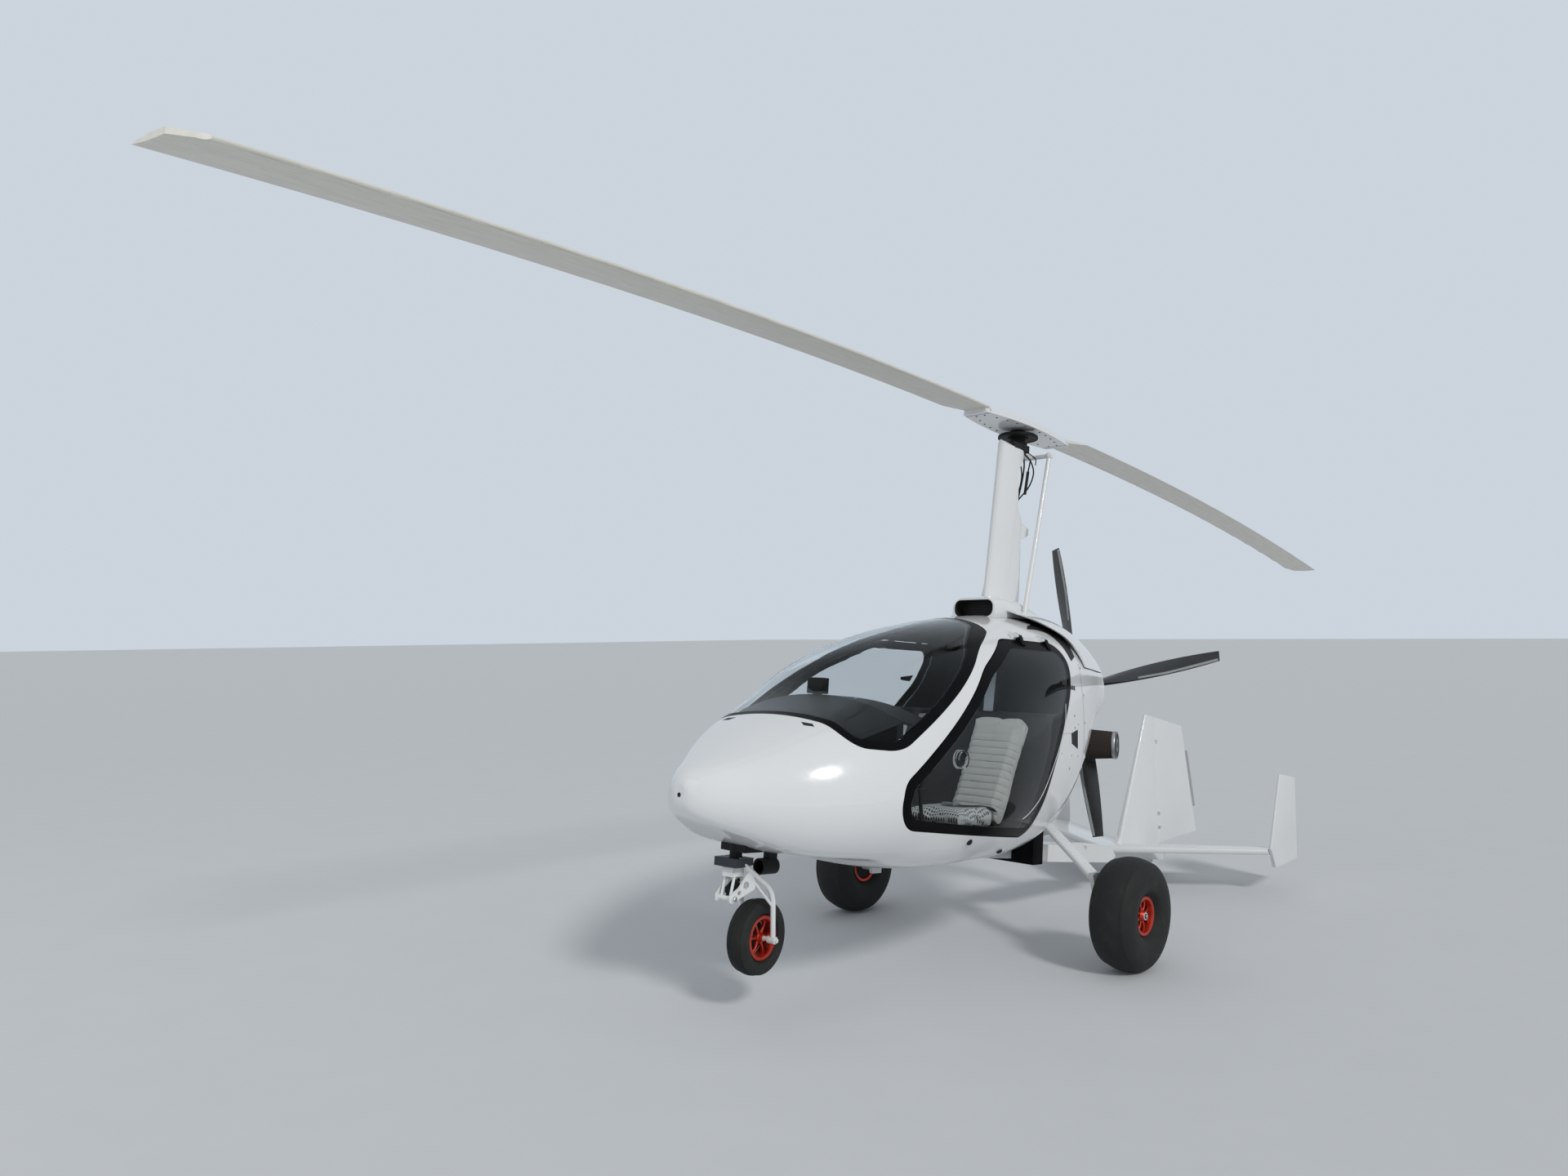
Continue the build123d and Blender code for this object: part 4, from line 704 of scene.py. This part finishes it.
def make_wheels():
    for side, name in reversed(SIDES):
        place = (lambda x, y, z: (x, y, z)) if side > 0 else (lambda x, y, z: (-x, y, z))
        body = "main_wheel_" + name
        axle = MAIN_WHEEL, (1, 0, 0)
        rows = tyre_rows(MAIN_RADIUS, 210, *MAIN_RIM, ())
        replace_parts(turned("tyre_" + name, *axle, rows, body, "tyre", 144, place=place), "main_tyre_" + name)
        rim = make_rim("rim_" + name, MAIN_WHEEL, *MAIN_RIM, 25, 71, 12.5, 8, 52, body, place)
        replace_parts(rim, "main_rim_" + name)
        rows = [(84, 0.01), (84, 6), (82, 8), (76, 8.5), (76, 13), (74, 14.5), (66, 14.5), (66, 8)]
        turned("hub_cap_" + name, *axle, rows, *METAL, 32, place=place)
    grooves = [(6, 1.6, 3.2), (14.5, 1.8, 3.4), (24, 1.6, 3)]
    rows = tyre_rows(NOSE_RADIUS, 98, *NOSE_RIM, grooves)
    tyre = turned("tyre_nose", NOSE_WHEEL, (1, 0, 0), rows, "nose_wheel", "tyre", 144, place=steered)
    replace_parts(tyre, "nose_tyre")
    rim = make_rim("rim_nose", NOSE_WHEEL, *NOSE_RIM, 21, 36, 9.5, 6, 12, "nose_wheel", steered)
    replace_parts(rim, "nose_rim")


# Mast, rotor head and control rods
def make_head():
    rows = [(-2, 96), (-2, 108), (3, 110), (5, 108), (14, 107), (16, 104), (16, 42)]
    teeth = 90

    def tooth(a, t, r):
        return r - 3 if r > 107.5 and sin(teeth * a) < 0 else r

    turned("ring_gear_teeth", HUB, (0, 0, 1), rows, "rotor", "black_plastic", teeth * 4,
           shape=tooth, edge=20)
    rows = [(-74, 30), (-70, 46), (-40, 48), (-36, 52), (-26, 52), (-22, 40), (-8, 40), (-6, 56), (-1, 56)]
    turned("head_swivel", HUB, (0, 0, 1), rows, *BLACK, 48)
    rows = [(-136, 0.1), (-136, 12), (-134, 15), (-116, 15), (-114, 12.5)]
    rows += [(114, 12.5), (116, 15), (134, 15), (136, 12), (136, 0.1)]
    turned("torque_sleeve", (0, 338, 2590), (1, 0, 0), rows, *WHITE, 32)
    hose("torque_arm", [(0, 226, 2612), (0, 280, 2602), (0, 336, 2591)], 15, *WHITE, 3, 16)
    for side, name in SIDES:
        eye = (side * 118, 338, 2590)
        rows = [(-9, 8), (-9, 19), (-6, 21), (6, 21), (9, 19), (9, 8)]
        turned("rod_eye_" + name, eye, (1, 0, 0), rows, *WHITE, 32)
        rows = [(-13, 0.1), (-13, 8), (-10, 9), (10, 9), (13, 8), (13, 0.1)]
        turned("rod_bolt_" + name, eye, (1, 0, 0), rows, *METAL, 6)
    cables = [
        ("a", 4, [(-18, 214, 2598), (-20, 262, 2556), (-22, 290, 2490),
                    (-14, 262, 2410), (-6, 214, 2352), (-4, 176, 2330)]),
        ("b", 4, [(16, 230, 2600), (26, 300, 2560), (28, 330, 2500),
                    (22, 300, 2420), (12, 236, 2350), (8, 180, 2300)]),
        ("c", 4.5, [(0, 236, 2604), (-4, 280, 2560), (-6, 276, 2470),
                    (-6, 232, 2330), (-6, 196, 2270), (-6, 190, 2216)]),
        ("d", 3, [(30, 226, 2604), (44, 268, 2590), (50, 310, 2572), (46, 318, 2540)]),
    ]
    for name, radius, points in cables:
        hose("cable_" + name, points, radius, *BLACK, 8, 10)
    hose("trim_actuator", [(4, 196, 2560), (5, 186, 2500), (6, 177, 2442)], 12, *WHITE, 3, 20)
    hose("trim_rod", [(4, 200, 2588), (4, 194, 2548)], 6, *METAL, 1, 14)
    hose("trim_gaiter", [(6, 177, 2446), (7, 168, 2392), (7, 160, 2352)], 9, *BLACK, 3, 16)
    hose("damper_body", [(20, 286, 2500), (20, 272, 2420), (20, 262, 2368)], 8, *BLACK, 3, 16)
    hose("damper_rod", [(20, 308, 2572), (20, 286, 2498)], 4, *BLACK, 1, 12)
    verts, faces = [], []
    for k in range(33):
        x = 52.4 * (k - 16) / 16
        front = min(97, 137 - 104.5 * sqrt(max(0, 1 - (x / 52.5) ** 2)))
        roof = 2596 + 36 * (1 - abs(x) / 52.5)
        verts += [(x, front, 2593), (x, front, roof), (x, 97, roof), (x, 97, 2593)]
    for k in range(32):
        a = 4 * k
        faces += [(a, a + 4, a + 5, a + 1), (a + 1, a + 5, a + 6, a + 2), (a + 2, a + 6, a + 7, a + 3)]
    piece("mast_cap", verts, faces, "airframe", "gloss_white", 25)
    tree = node_tree("rotor_hub_fairing")
    spots = []
    for k in range(-5, 6):
        y = 74 * k
        x = 92 * (1 - abs(y / 425) ** 2.4)
        for side in (-1, 1):
            hit = on_skin(tree, (side * x, HUB[1] + y, 2600), (side * x, HUB[1] + y, 2760), 0.2)
            if hit and x > 20:
                spots.append(hit)
    studs("fairing_screws", spots, 5.5, 2.4, "rotor", "black_plastic")
    for name, y in (("front", -392), ("rear", 392)):
        starts, aims = [], []
        for k in range(49):
            a = tau * k / 48
            starts.append((300 * cos(a), HUB[1] + y, FAIRING_UP + 300 * sin(a)))
            aims.append((0, HUB[1] + y, FAIRING_UP))
        skin_line("root_seam_" + name, tree, starts, aims, 4, "rotor", "black_plastic", 0.4)


def make_scoop():
    """Black liner inside the air scoop at the mast's foot: painted shade in the scoop's recess"""
    loops = []
    for y, grow in ((-157, -0.6), (-150, -1.2), (-84, -1.2)):
        w, h, r = 118 + grow, 44 + grow, 36
        ring = []
        corners = ((w - r, h - r, 0), (-w + r, h - r, 90), (-w + r, -h + r, 180), (w - r, -h + r, 270))
        for cx, cz, start in corners:
            for k in range(9):
                a = radians(start + 90 * k / 8)
                ring.append((cx + r * cos(a), y, 1687 + cz + r * sin(a)))
        loops.append(ring)
    n = len(loops[0])
    verts = [p for ring in loops for p in ring]
    faces = band(3, n) + [tuple(2 * n + k for k in range(n))]
    # The black liner is painted shade inside the scoop's pocket
    piece("scoop_shade_liner", verts, faces, *BLACK)


def make_propeller_strips():
    """Pale erosion strips on the outer leading edges of the blades"""
    stations = [(96, 52, 30, 52), (250, 84, 18, 38)]
    stations += [(560, 96, 11, 24), (862, 60, 6, 17)]
    turn = Matrix.Rotation(radians(-3.1), 4, "X")
    verts, faces = [], []
    for blade in range(4):
        spin = Matrix.Rotation(radians(-13 + 90 * blade), 4, "Y")
        start = len(verts)
        count = 22
        for k in range(count):
            r = 400 + (855 - 400) * k / (count - 1)
            for (r0, *low), (r1, *high) in zip(stations, stations[1:]):
                if r0 <= r <= r1:
                    f = (r - r0) / (r1 - r0)
                    chord, thick, pitch = (a + (b - a) * f for a, b in zip(low, high))
                    pitch = radians(180 - pitch)
            side = 0.5 * thick
            edge = [(16, side * 0.86), (0.3 * thick, side * 0.8), (-0.5, 0)]
            edge += [(0.3 * thick, -side * 0.8), (16, -side * 0.86)]
            for x, y in edge:
                px, py = x - chord / 2, y + (0.5 if y > 0 else -0.5 if y < 0 else 0)
                flat = Vector((px * cos(pitch) - py * sin(pitch), px * sin(pitch) + py * cos(pitch), r))
                p = turn @ (spin @ flat)
                verts.append((p.x, PROPELLER[0] + p.y, PROPELLER[1] + p.z))
        faces += band(count, 5, start, False)
    piece("propeller_strips", verts, faces, "propeller", "pale_grey")


# Cabin
def oval_line(y, count, low, high, centre_z=960):
    """Rays round the pod at one station: starts and aims, by angle from the crown"""
    starts, aims = [], []
    for k in range(count + 1):
        a = radians(low + (high - low) * k / count)
        starts.append((900 * sin(a), y, centre_z + 900 * cos(a)))
        aims.append((0, y, centre_z))
    return starts, aims


def pod_middle(y):
    """Height of the pod's middle at a station of the level frame"""
    if y > 300:
        return 1250
    return 742 + 218 * min(1, max(0, (y + 2000) / 900))


def make_lining():
    """Dark lining on the inside of the cabin's shell, copied from its inner faces"""
    for node, name in (("cabin_shell", "cabin_lining"), ("engine_cowl", "cowl_inside")):
        mesh = NODES[node].data
        verts, faces, index = [], [], {}
        for face in mesh.polygons:
            centre = levelled(face.center)
            normal = UNTURN @ face.normal
            if node == "engine_cowl" and centre.z > 1440:
                continue
            away = Vector((centre.x, 0, centre.z - pod_middle(centre.y)))
            if normal.dot(away.normalized()) > -0.35 or centre.y < -1900:
                continue
            corners = []
            for i in face.vertices:
                if i not in index:
                    index[i] = len(verts)
                    verts.append(mesh.vertices[i].co.copy())
                corners.append(index[i])
            faces.append(tuple(corners))
        moved = []
        for v in verts:
            y = levelled(v).y
            hub = Vector((0, y, pod_middle(y)))
            moved.append(v + (at(*hub) - v).normalized() * 0.0015)
        piece(name, moved, faces, "airframe", "lining", raw=True)


def make_shell():
    """The felt-covered shell behind and beside the seats, with a shelf over the tank"""
    tree = node_tree("cabin_shell", "door_frame_port", "door_pane_port", "windscreen")
    profile = [(-500, 600), (-470, 640), (-420, 745), (-360, 880), (-300, 1010), (-258, 1105)]
    profile += [(-236, 1146), (-200, 1158), (-100, 1160), (60, 1160), (180, 1160)]
    verts = []
    columns = 24
    for y, z in profile:
        hit = on_skin(tree, (0, y, z), (900, y, z), 0)
        half = (UNLEVEL @ hit[0]).x * 1000 - 14 if hit else 480
        half = min(half, 560)
        for k in range(columns + 1):
            x = -half + 2 * half * k / columns
            verts.append((x, y, z))
    made = piece("seat_shell", verts, band(len(profile), columns + 1, 0, False), "airframe", "lining")
    thick = made.modifiers.new("thick", "SOLIDIFY")
    thick.thickness = 0.006
    for side, name in SIDES:
        low, high = sorted((side * 112, side * 86))
        soft_box("bolster_" + name, (low, -842, 600), (high, -520, 690), "airframe", "lining", 10)


def make_lip_shade():
    """Painted shade: black patches laid on the skin under the front lip of the cowl's raised part, where shade
    falls in the gap
    """
    tree = node_tree("cabin_shell")
    verts, faces = [], []
    rows, columns = 48, 10
    for i in range(rows + 1):
        a = radians(-68 + 136 * i / rows)
        probe = on_skin(tree, (700 * sin(a), 90, 1250 + 700 * cos(a)), (0, 90, 1250), 1)
        z = levelled(probe[0]).z if probe else 1400
        if z > 1660:
            front = -45
        elif z > 1560:
            front = -45 + (1660 - z) * 2.25
        else:
            front = 180 + (1560 - z) * 1.07
        for k in range(columns + 1):
            y = min(front + 4 + (228 - front) * k / columns, 229)
            hit = on_skin(tree, (700 * sin(a), y, 1250 + 700 * cos(a)), (0, y, 1250), 1.2)
            verts.append(hit[0] if hit else None)
    good = {}
    for i, v in enumerate(verts):
        if v is not None:
            good[i] = len(good)
    for quad in band(rows + 1, columns + 1, 0, False):
        if all(q in good for q in quad):
            faces.append(tuple(good[q] for q in quad))
    verts = [v for v in verts if v is not None]
    # The black patch on the skin under the lip is painted shade
    piece("lip_shade_patch", verts, faces, *BLACK, raw=True)
    # The black strips at the lip's edge, at pixels of the photograph, are painted shade under the lip
    lip = [(1258, 766.6, 1257, 770.6), (1268, 764.4, 1268, 771.6), (1284, 768.8, 1280.6, 775.4)]
    lip += [(1297, 777, 1292, 783.2), (1307.4, 789, 1302.6, 794.6), (1315.4, 804.4, 1311.8, 809.6)]
    both = node_tree("cabin_shell", "engine_cowl")
    outer = smooth_path([(x, y, 0) for x, y, _, _ in lip], 8)
    inner = smooth_path([(x, y, 0) for _, _, x, y in lip], 8)
    lip = [(a.x, a.y, b.x, b.y) for a, b in zip(outer, inner)]
    wide = 13
    for side, name in reversed(SIDES):
        rows = []
        for x0, y0, x1, y1 in lip:
            shares = [k / (wide - 1) for k in range(wide)]
            row = [seen(both, x0 + (x1 - x0) * f, y0 + (y1 - y0) * f, 1.4) for f in shares]
            if all(row):
                rows.append([p for p, _ in flipped(row, side)])
        flat = [p for row in rows for p in row]
        quads = band(len(rows), wide, 0, False)
        piece("lip_shade_strip_" + name, flat, quads, *BLACK, raw=True)


def make_fittings():
    """Seams, fasteners, latches, vents and drains on the pod, with painted shade in the slots, the vent and
    the crease by it, and a painted highlight on the door seal
    """
    shell = node_tree("cabin_shell")
    both = node_tree("cabin_shell", "engine_cowl")
    starts, aims = oval_line(231.8, 160, 40, 320)
    skin_line("cowl_seam", both, starts, aims, 2.2, *BLACK)
    spots = []
    places = [(250, 1410), (252, 1270), (256, 1130), (262, 990), (300, 900)]
    places += [(360, 950), (60, 1160), (60, 1100), (-20, 900)]
    for side, _ in SIDES:
        for y, z in places:
            hit = on_skin(both, (side * 900, y, z), (0, y, z), 0.1)
            if hit:
                spots.append(hit)
    studs("cowl_fasteners", spots, 7, 2, *METAL)
    line = [(150, 742), (96, 716), (60, 668), (-20, 640), (-90, 618), (-130, 612)]
    aims = smooth_path([(0, y, z) for y, z in line], 8)
    for side, name in SIDES:
        starts = [(side * 900, p.y, p.z) for p in aims]
        skin_line("service_seam_" + name, both, starts, aims, 2, *BLACK)
    spots = [on_skin(shell, (900, -910, 560), (0, -910, 620), 0.1)]
    spots += [on_skin(shell, (700, -487, 430), (0, -487, 640), 0.1)]
    studs("drain_fittings", [s for s in spots if s], 15, 10, *BLACK, 20)
    hit = on_skin(shell, (0, -2300, 742), (0, -1900, 742), 0.2)
    studs("nose_eye", [hit], 9, 4, *BLACK, 20)
    # The black plate in the nose slot is painted shade in the opening
    slot = [(981, 884), (995, 886.5), (997, 890), (984, 888)]
    skin_plate("nose_slot", both, slot, "black_plastic", 1, 3)
    # The black plate in the side vent is painted shade in the opening
    vent = [(1312, 898), (1319.5, 893.5), (1319.5, 917), (1312.5, 910.5)]
    skin_plate("side_vent", both, vent, "black_paint")
    # The pale grey line along the crease by the vent is painted shade in the crease
    skin_track("vent_crease_shade", both, [(1302, 899.5), (1307, 898), (1312, 898)], 3, "pale_grey")
    plate = [(1308, 837.5), (1316, 839.5), (1316.5, 846.5), (1308.5, 844.5)]
    skin_plate("slotted_plate", both, plate, "grey_metal")
    # The black plates in the plate's slots are painted shade in the openings
    for k in range(4):
        x, y = 1309.3 + 1.75 * k, 838.6 + 0.42 * k
        slot = [(x, y), (x + 0.8, y + 0.2), (x + 1, y + 5.4), (x + 0.2, y + 5.2)]
        skin_plate(f"plate_slot_{k}", both, slot, "black_plastic", 2.2, 1)
    heads = [(1300, 922.8), (1312.5, 925), (1319.7, 926), (1320.6, 887)]
    found = [h for h in (seen(both, x, y, 0.3) for x, y in heads) if h]
    studs("side_screws_port", found, 4.5, 1.6, *METAL)
    studs("side_screws_starboard", flipped(found, -1), 4.5, 1.6, *METAL)
    door = node_tree("door_frame_port", "door_pane_port", "cabin_shell")
    doors = ("door_port", "door_starboard")
    # The white raised strip along the door's rear edge is a painted highlight on the seal's edge
    seal = [(1305, 862), (1304, 887), (1294.7, 924.4), (1277.5, 971), (1262, 994), (1252, 1003)]
    skin_track("door_seal_highlight", door, seal, 4.5, "white_paint", 1.6, 8, doors)
    latch = [(1299, 834), (1305.5, 831.5), (1305.5, 840), (1300, 838)]
    skin_plate("door_latch", door, latch, "black_plastic", 4, 6, doors)


def make_cockpit():
    """What shows through the glass: display on the hood, sticks"""
    soft_box("hood_display", (-46, -1352, 1174), (46, -1306, 1246), *BLACK, 5)
    soft_box("display_foot", (-20, -1340, 1160), (20, -1318, 1180), *BLACK, 3)
    for side, name in SIDES:
        x = side * SEAT_X
        rows = [(0, 12), (2, 22), (14, 26), (40, 21), (70, 19)]
        rows += [(96, 21), (112, 24), (124, 20), (129, 10), (130, 0.1)]
        turned("grip_" + name, (x, -918, 786), (0, 0.09, 1), rows, *BLACK, 28)
        rows = [(0, 34), (10, 32), (24, 26), (34, 25), (46, 19), (60, 17), (80, 11)]
        turned("boot_" + name, (x, -880, 561), (0, -0.17, 1), rows, *BLACK, 32)


def make_nose_leg():
    a, b = Vector((0, -1798, 352)), Vector((0, -1748, 388))
    d, u, v = across(b - a)
    turns, steps = 5.5, 132
    points = []
    for k in range(steps + 1):
        t = k / steps
        ang = tau * turns * t
        points.append(a + d * (4 + ((b - a).length - 8) * t) + (u * cos(ang) + v * sin(ang)) * 20)
    hose("shock_spring", points, 3.4, "nose_leg", "black_plastic", 1, 8, place=steered)
    for side, name in SIDES:
        rows = [(0, 0.1), (0, 9), (1, 10), (7, 10), (8, 9), (8, 0.1)]
        start = (side * 45.6, -1813, 333)
        turned("pivot_bolt_" + name, start, (side, 0, 0), rows, "nose_leg", "grey_metal", 6, place=steered)


def as_shaped(ob):
    """A mesh of the object as its modifiers leave it"""
    graph = bpy.context.evaluated_depsgraph_get()
    return bpy.data.meshes.new_from_object(ob.evaluated_get(graph))


CLOTH_FRAMES = 20


def simulate(ob, pressure, cap):
    """Blow a closed pad up a little as cloth, then keep the shape"""
    start = [v.co.copy() for v in ob.data.vertices]
    cloth = ob.modifiers.new("cloth", "CLOTH")
    stuff = {"quality": 5, "mass": 0.3, "use_pressure": True, "uniform_pressure_force": pressure}
    stuff.update(tension_stiffness=25, compression_stiffness=25, shear_stiffness=10, bending_stiffness=1.5)
    for key, value in stuff.items():
        setattr(cloth.settings, key, value)
    cloth.settings.effector_weights.gravity = 0
    cloth.point_cache.frame_start = 1
    cloth.point_cache.frame_end = CLOTH_FRAMES
    for f in range(1, CLOTH_FRAMES + 1):
        scene.frame_set(f)
    moved = [v.co.copy() for v in as_shaped(ob).vertices]
    ob.modifiers.remove(cloth)
    scene.frame_set(1)
    for vert, old, new in zip(ob.data.vertices, start, moved):
        step = new - old
        if step.length > cap:
            step = step * (cap / step.length)
        vert.co = old + step


def pad_from(node, name, slot, shrink, voxel):
    """A soft copy of a plain seat solid, remeshed and blown up as cloth"""
    mesh = NODES[node].data.copy()
    ob = put(name, mesh)
    lows = [min(v.co[k] for v in mesh.vertices) for k in range(3)]
    highs = [max(v.co[k] for v in mesh.vertices) for k in range(3)]
    middle = Vector([(lows[k] + highs[k]) / 2 for k in range(3)])
    size = Vector([highs[k] - lows[k] for k in range(3)])
    scale = Vector([(size[k] - 2 * shrink) / size[k] for k in range(3)])
    for vert in mesh.vertices:
        vert.co = middle + Vector([(vert.co[k] - middle[k]) * scale[k] for k in range(3)])
    remesh = ob.modifiers.new("remesh", "REMESH")
    remesh.mode = "VOXEL"
    remesh.voxel_size = voxel
    dense = as_shaped(ob)
    ob.modifiers.clear()
    ob.data = dense
    simulate(ob, 4, 0.016)
    finer = ob.modifiers.new("finer", "SUBSURF")
    finer.levels = 1
    finer.render_levels = 1
    dense = as_shaped(ob)
    ob.modifiers.clear()
    ob.data = dense
    dense.shade_smooth()
    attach(ob, "airframe")
    return dress(ob, slot)


def level_points(ob):
    """Each vertex with its normal, then both in the level frame"""
    normals = [n.vector.copy() for n in ob.data.vertex_normals]
    for vert, normal in zip(ob.data.vertices, normals):
        yield vert, normal, levelled(vert.co), UNTURN @ normal


def sew_back(ob):
    """Channels sewn across the front of a seat back, and a piped border round it"""
    back = Vector((0, -520, 620))
    rise = Vector((0, 239, 520)).normalized()
    half, tall, corner, pitch = 150, 560, 60, 36
    for vert, normal, p, n in level_points(ob):
        up = (p - back).dot(rise)
        cross = p.x - SEAT_X
        over, high = abs(cross) - 88, up - 500
        if over > 0 and high > 0:
            pull = max(0, 1 - corner / max(corner, sqrt(over * over + high * high)))
            shift = Vector((-pull * over * (1 if cross > 0 else -1), 0, 0)) - rise * (pull * high)
            vert.co += LEVEL.to_3x3() @ (shift / 1000)
        inset = min(half - abs(cross), tall - up)
        if n.y < -0.25 and up < 452:
            phase = ((up + 12) % pitch) / pitch
            groove = max(0, 1 - min(phase, 1 - phase) / 0.11)
            swell = sin(pi * phase)
            share = min(1, max(0, (inset - 8) / 10))
            vert.co += normal * ((-0.0045 * groove + 0.002 * swell) * share)
        edge = abs(inset - 13)
        if n.y < -0.1 and edge < 4:
            vert.co -= normal * (0.002 * (1 - edge / 4))


def sew_cushion(ob):
    """A seam round the top of a seat cushion"""
    for vert, normal, p, n in level_points(ob):
        inset = min(150 - abs(p.x - SEAT_X), p.y + 852)
        edge = abs(inset - 16)
        if n.z > 0.2 and edge < 5:
            vert.co -= normal * (0.003 * (1 - edge / 5))


def ribbon(name, points, width, thick, flat, body, slot, count=6):
    """A flat strap along a smooth path; flat is the way its face looks"""
    line = smooth_path(points, count)
    verts = []
    for i, p in enumerate(line):
        d = heading(line, i)
        out = Vector(flat)
        out = (out - d * out.dot(d)).normalized()
        side = d.cross(out).normalized() * (width / 2)
        lift = out * (thick / 2)
        verts += [p + side + lift, p - side + lift, p - side - lift, p + side - lift]
    faces = band(len(line), 4)
    faces += [(0, 1, 2, 3), tuple(4 * (len(line) - 1) + c for c in (3, 2, 1, 0))]
    return piece(name, verts, faces, body, slot)


def make_seats():
    back = pad_from("seat_back_port", "back_pad_port", "seat", 0.009, 0.0055)
    sew_back(back)
    cushion = pad_from("seat_cushion_port", "cushion_pad_port", "perforated", 0.008, 0.0055)
    sew_cushion(cushion)
    for ob, node, slot in ((back, "seat_back", "seat"), (cushion, "seat_cushion", "perforated")):
        twin = mirror_piece(ob, ob.name.replace("port", "starboard"), "airframe", slot)
        for pad, side in ((ob, "port"), (twin, "starboard")):
            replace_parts(pad, f"{node}_{side}")
            pad.data.shade_smooth()
    for side, name in SIDES:
        x = side * SEAT_X
        for k, off in enumerate((-118, 118)):
            path = [(x + off, -500, 690), (x + off * 0.9, -540, 712)]
            path += [(x + off * 0.62, -600, 712), (x + off * 0.3, -668, 712)]
            ribbon(f"lap_belt_{name}_{k}", path, 46, 2.4, (0, 0, 1), "airframe", "webbing")
        soft_box("buckle_" + name, (x - 34, -706, 707), (x + 34, -650, 722), *METAL, 4)
        for k, off in enumerate((-60, 60) if side < 0 else ()):
            path = [(x + off * 1.1, -240, 1152), (x + off * 1.05, -306, 1146), (x + off, -345, 1080)]
            path += [(x + off * 0.95, -420, 915), (x + off * 0.8, -500, 745), (x + off * 0.35, -640, 716)]
            ribbon(f"shoulder_belt_{name}_{k}", path, 44, 2.4, (0, -1, 0.3), "airframe", "webbing")


def make_filter():
    """Pleats of the air filter with its end ring"""
    a, b = Vector((190, 742, 1018)), Vector((330, 790, 1022))
    length = (b - a).length

    def pleat(ang, t, r):
        return r - 2.6 * abs(sin(30 * ang))

    stops = [6 + (length - 14) * k / 6 for k in range(7)]
    rows = [(t, 83.2 - 10 * t / length) for t in stops]
    turned("filter_pleats", a, b - a, rows, "airframe", "filter", 480, shape=pleat, edge=80)
    rows = [(-10, 70), (-10, 75.5), (-6, 77), (4, 77), (8, 75), (8, 68)]
    turned("filter_ring", a, b - a, [(length + t, r) for t, r in rows], *METAL, 64)
    rows = [(9, 66), (13, 62), (13, 40), (11.6, 38), (12.4, 0.1)]
    turned("filter_end", a, b - a, [(length + t, r) for t, r in rows], *BLACK, 64)


make_wheels()
make_head()
make_scoop()
make_propeller_strips()
make_lining()
make_shell()
make_lip_shade()
make_fittings()
make_cockpit()
make_nose_leg()
make_filter()
make_seats()


def make_camera():
    forward, right, up = camera_axes()
    data = bpy.data.cameras.new("camera")
    data.sensor_fit = "HORIZONTAL"
    data.sensor_width = 36
    data.lens = 36 * LENS_PX / PHOTO_W
    data.clip_end = 500
    camera = put("camera", data)
    turn = Matrix((right, up, -forward)).transposed().to_4x4()
    camera.matrix_world = Matrix.Translation(CAMERA) @ turn
    scene.camera = camera


def make_stage():
    """A pale floor that runs to the horizon, and a pale even backdrop"""
    mesh = bpy.data.meshes.new("floor")
    size = 150
    corners = [(-size, -size, 0), (size, -size, 0), (size, size, 0), (-size, size, 0)]
    mesh.from_pydata(corners, [], [(0, 1, 2, 3)])
    floor = put("floor", mesh)
    look = Look("floor", (0.7, 0.72, 0.74), 0.85)
    grain = look.noise(3, 6)
    look.colour(look.blend(grain, (0.685, 0.705, 0.725), (0.725, 0.745, 0.765)))
    look.rough(look.level(grain, 0.3, 0.7, 0.8, 0.9))
    mesh.materials.append(look.mat)

    world = bpy.data.worlds.new("world")
    scene.world = world
    world.use_nodes = True
    tree = world.node_tree
    tree.nodes.clear()
    out = tree.nodes.new("ShaderNodeOutputWorld")
    mix = tree.nodes.new("ShaderNodeMixShader")
    skies = []
    for colour, strength in (((0.9, 0.95, 1, 1), 0.42), ((0.6, 0.66, 0.72, 1), 1)):
        sky = tree.nodes.new("ShaderNodeBackground")
        sky.inputs["Color"].default_value = colour
        sky.inputs["Strength"].default_value = strength
        skies.append(sky)
    path = tree.nodes.new("ShaderNodeLightPath")
    either = path.outputs["Is Camera Ray"]
    for ray in ("Is Glossy Ray", "Is Transmission Ray"):
        top = tree.nodes.new("ShaderNodeMath")
        top.operation = "MAXIMUM"
        tree.links.new(either, top.inputs[0])
        tree.links.new(path.outputs[ray], top.inputs[1])
        either = top.outputs[0]
    tree.links.new(either, mix.inputs[0])
    for k, sky in enumerate(skies):
        tree.links.new(sky.outputs[0], mix.inputs[k + 1])
    tree.links.new(mix.outputs[0], out.inputs[0])


def lamp(kind, name, place, aim, energy, size, colour=(1, 1, 1)):
    data = bpy.data.lights.new(name, kind)
    data.energy = energy
    data.color = colour
    if kind == "SUN":
        data.angle = size
    else:
        data.size = size
    ob = put(name, data)
    ob.location = place
    ob.rotation_euler = (Vector(aim) - Vector(place)).to_track_quat("-Z", "Y").to_euler()


def make_lights():
    lamp("SUN", "key", (7, -2.6, 6), (0, -0.3, 0.6), 1.25, radians(10), (1, 0.98, 0.95))
    lamp("AREA", "fill", (-1.5, -9, 5), (0, -1, 1), 60, 6, (0.95, 0.98, 1))


scene.view_settings.view_transform = "Standard"
make_camera()
make_stage()
make_lights()
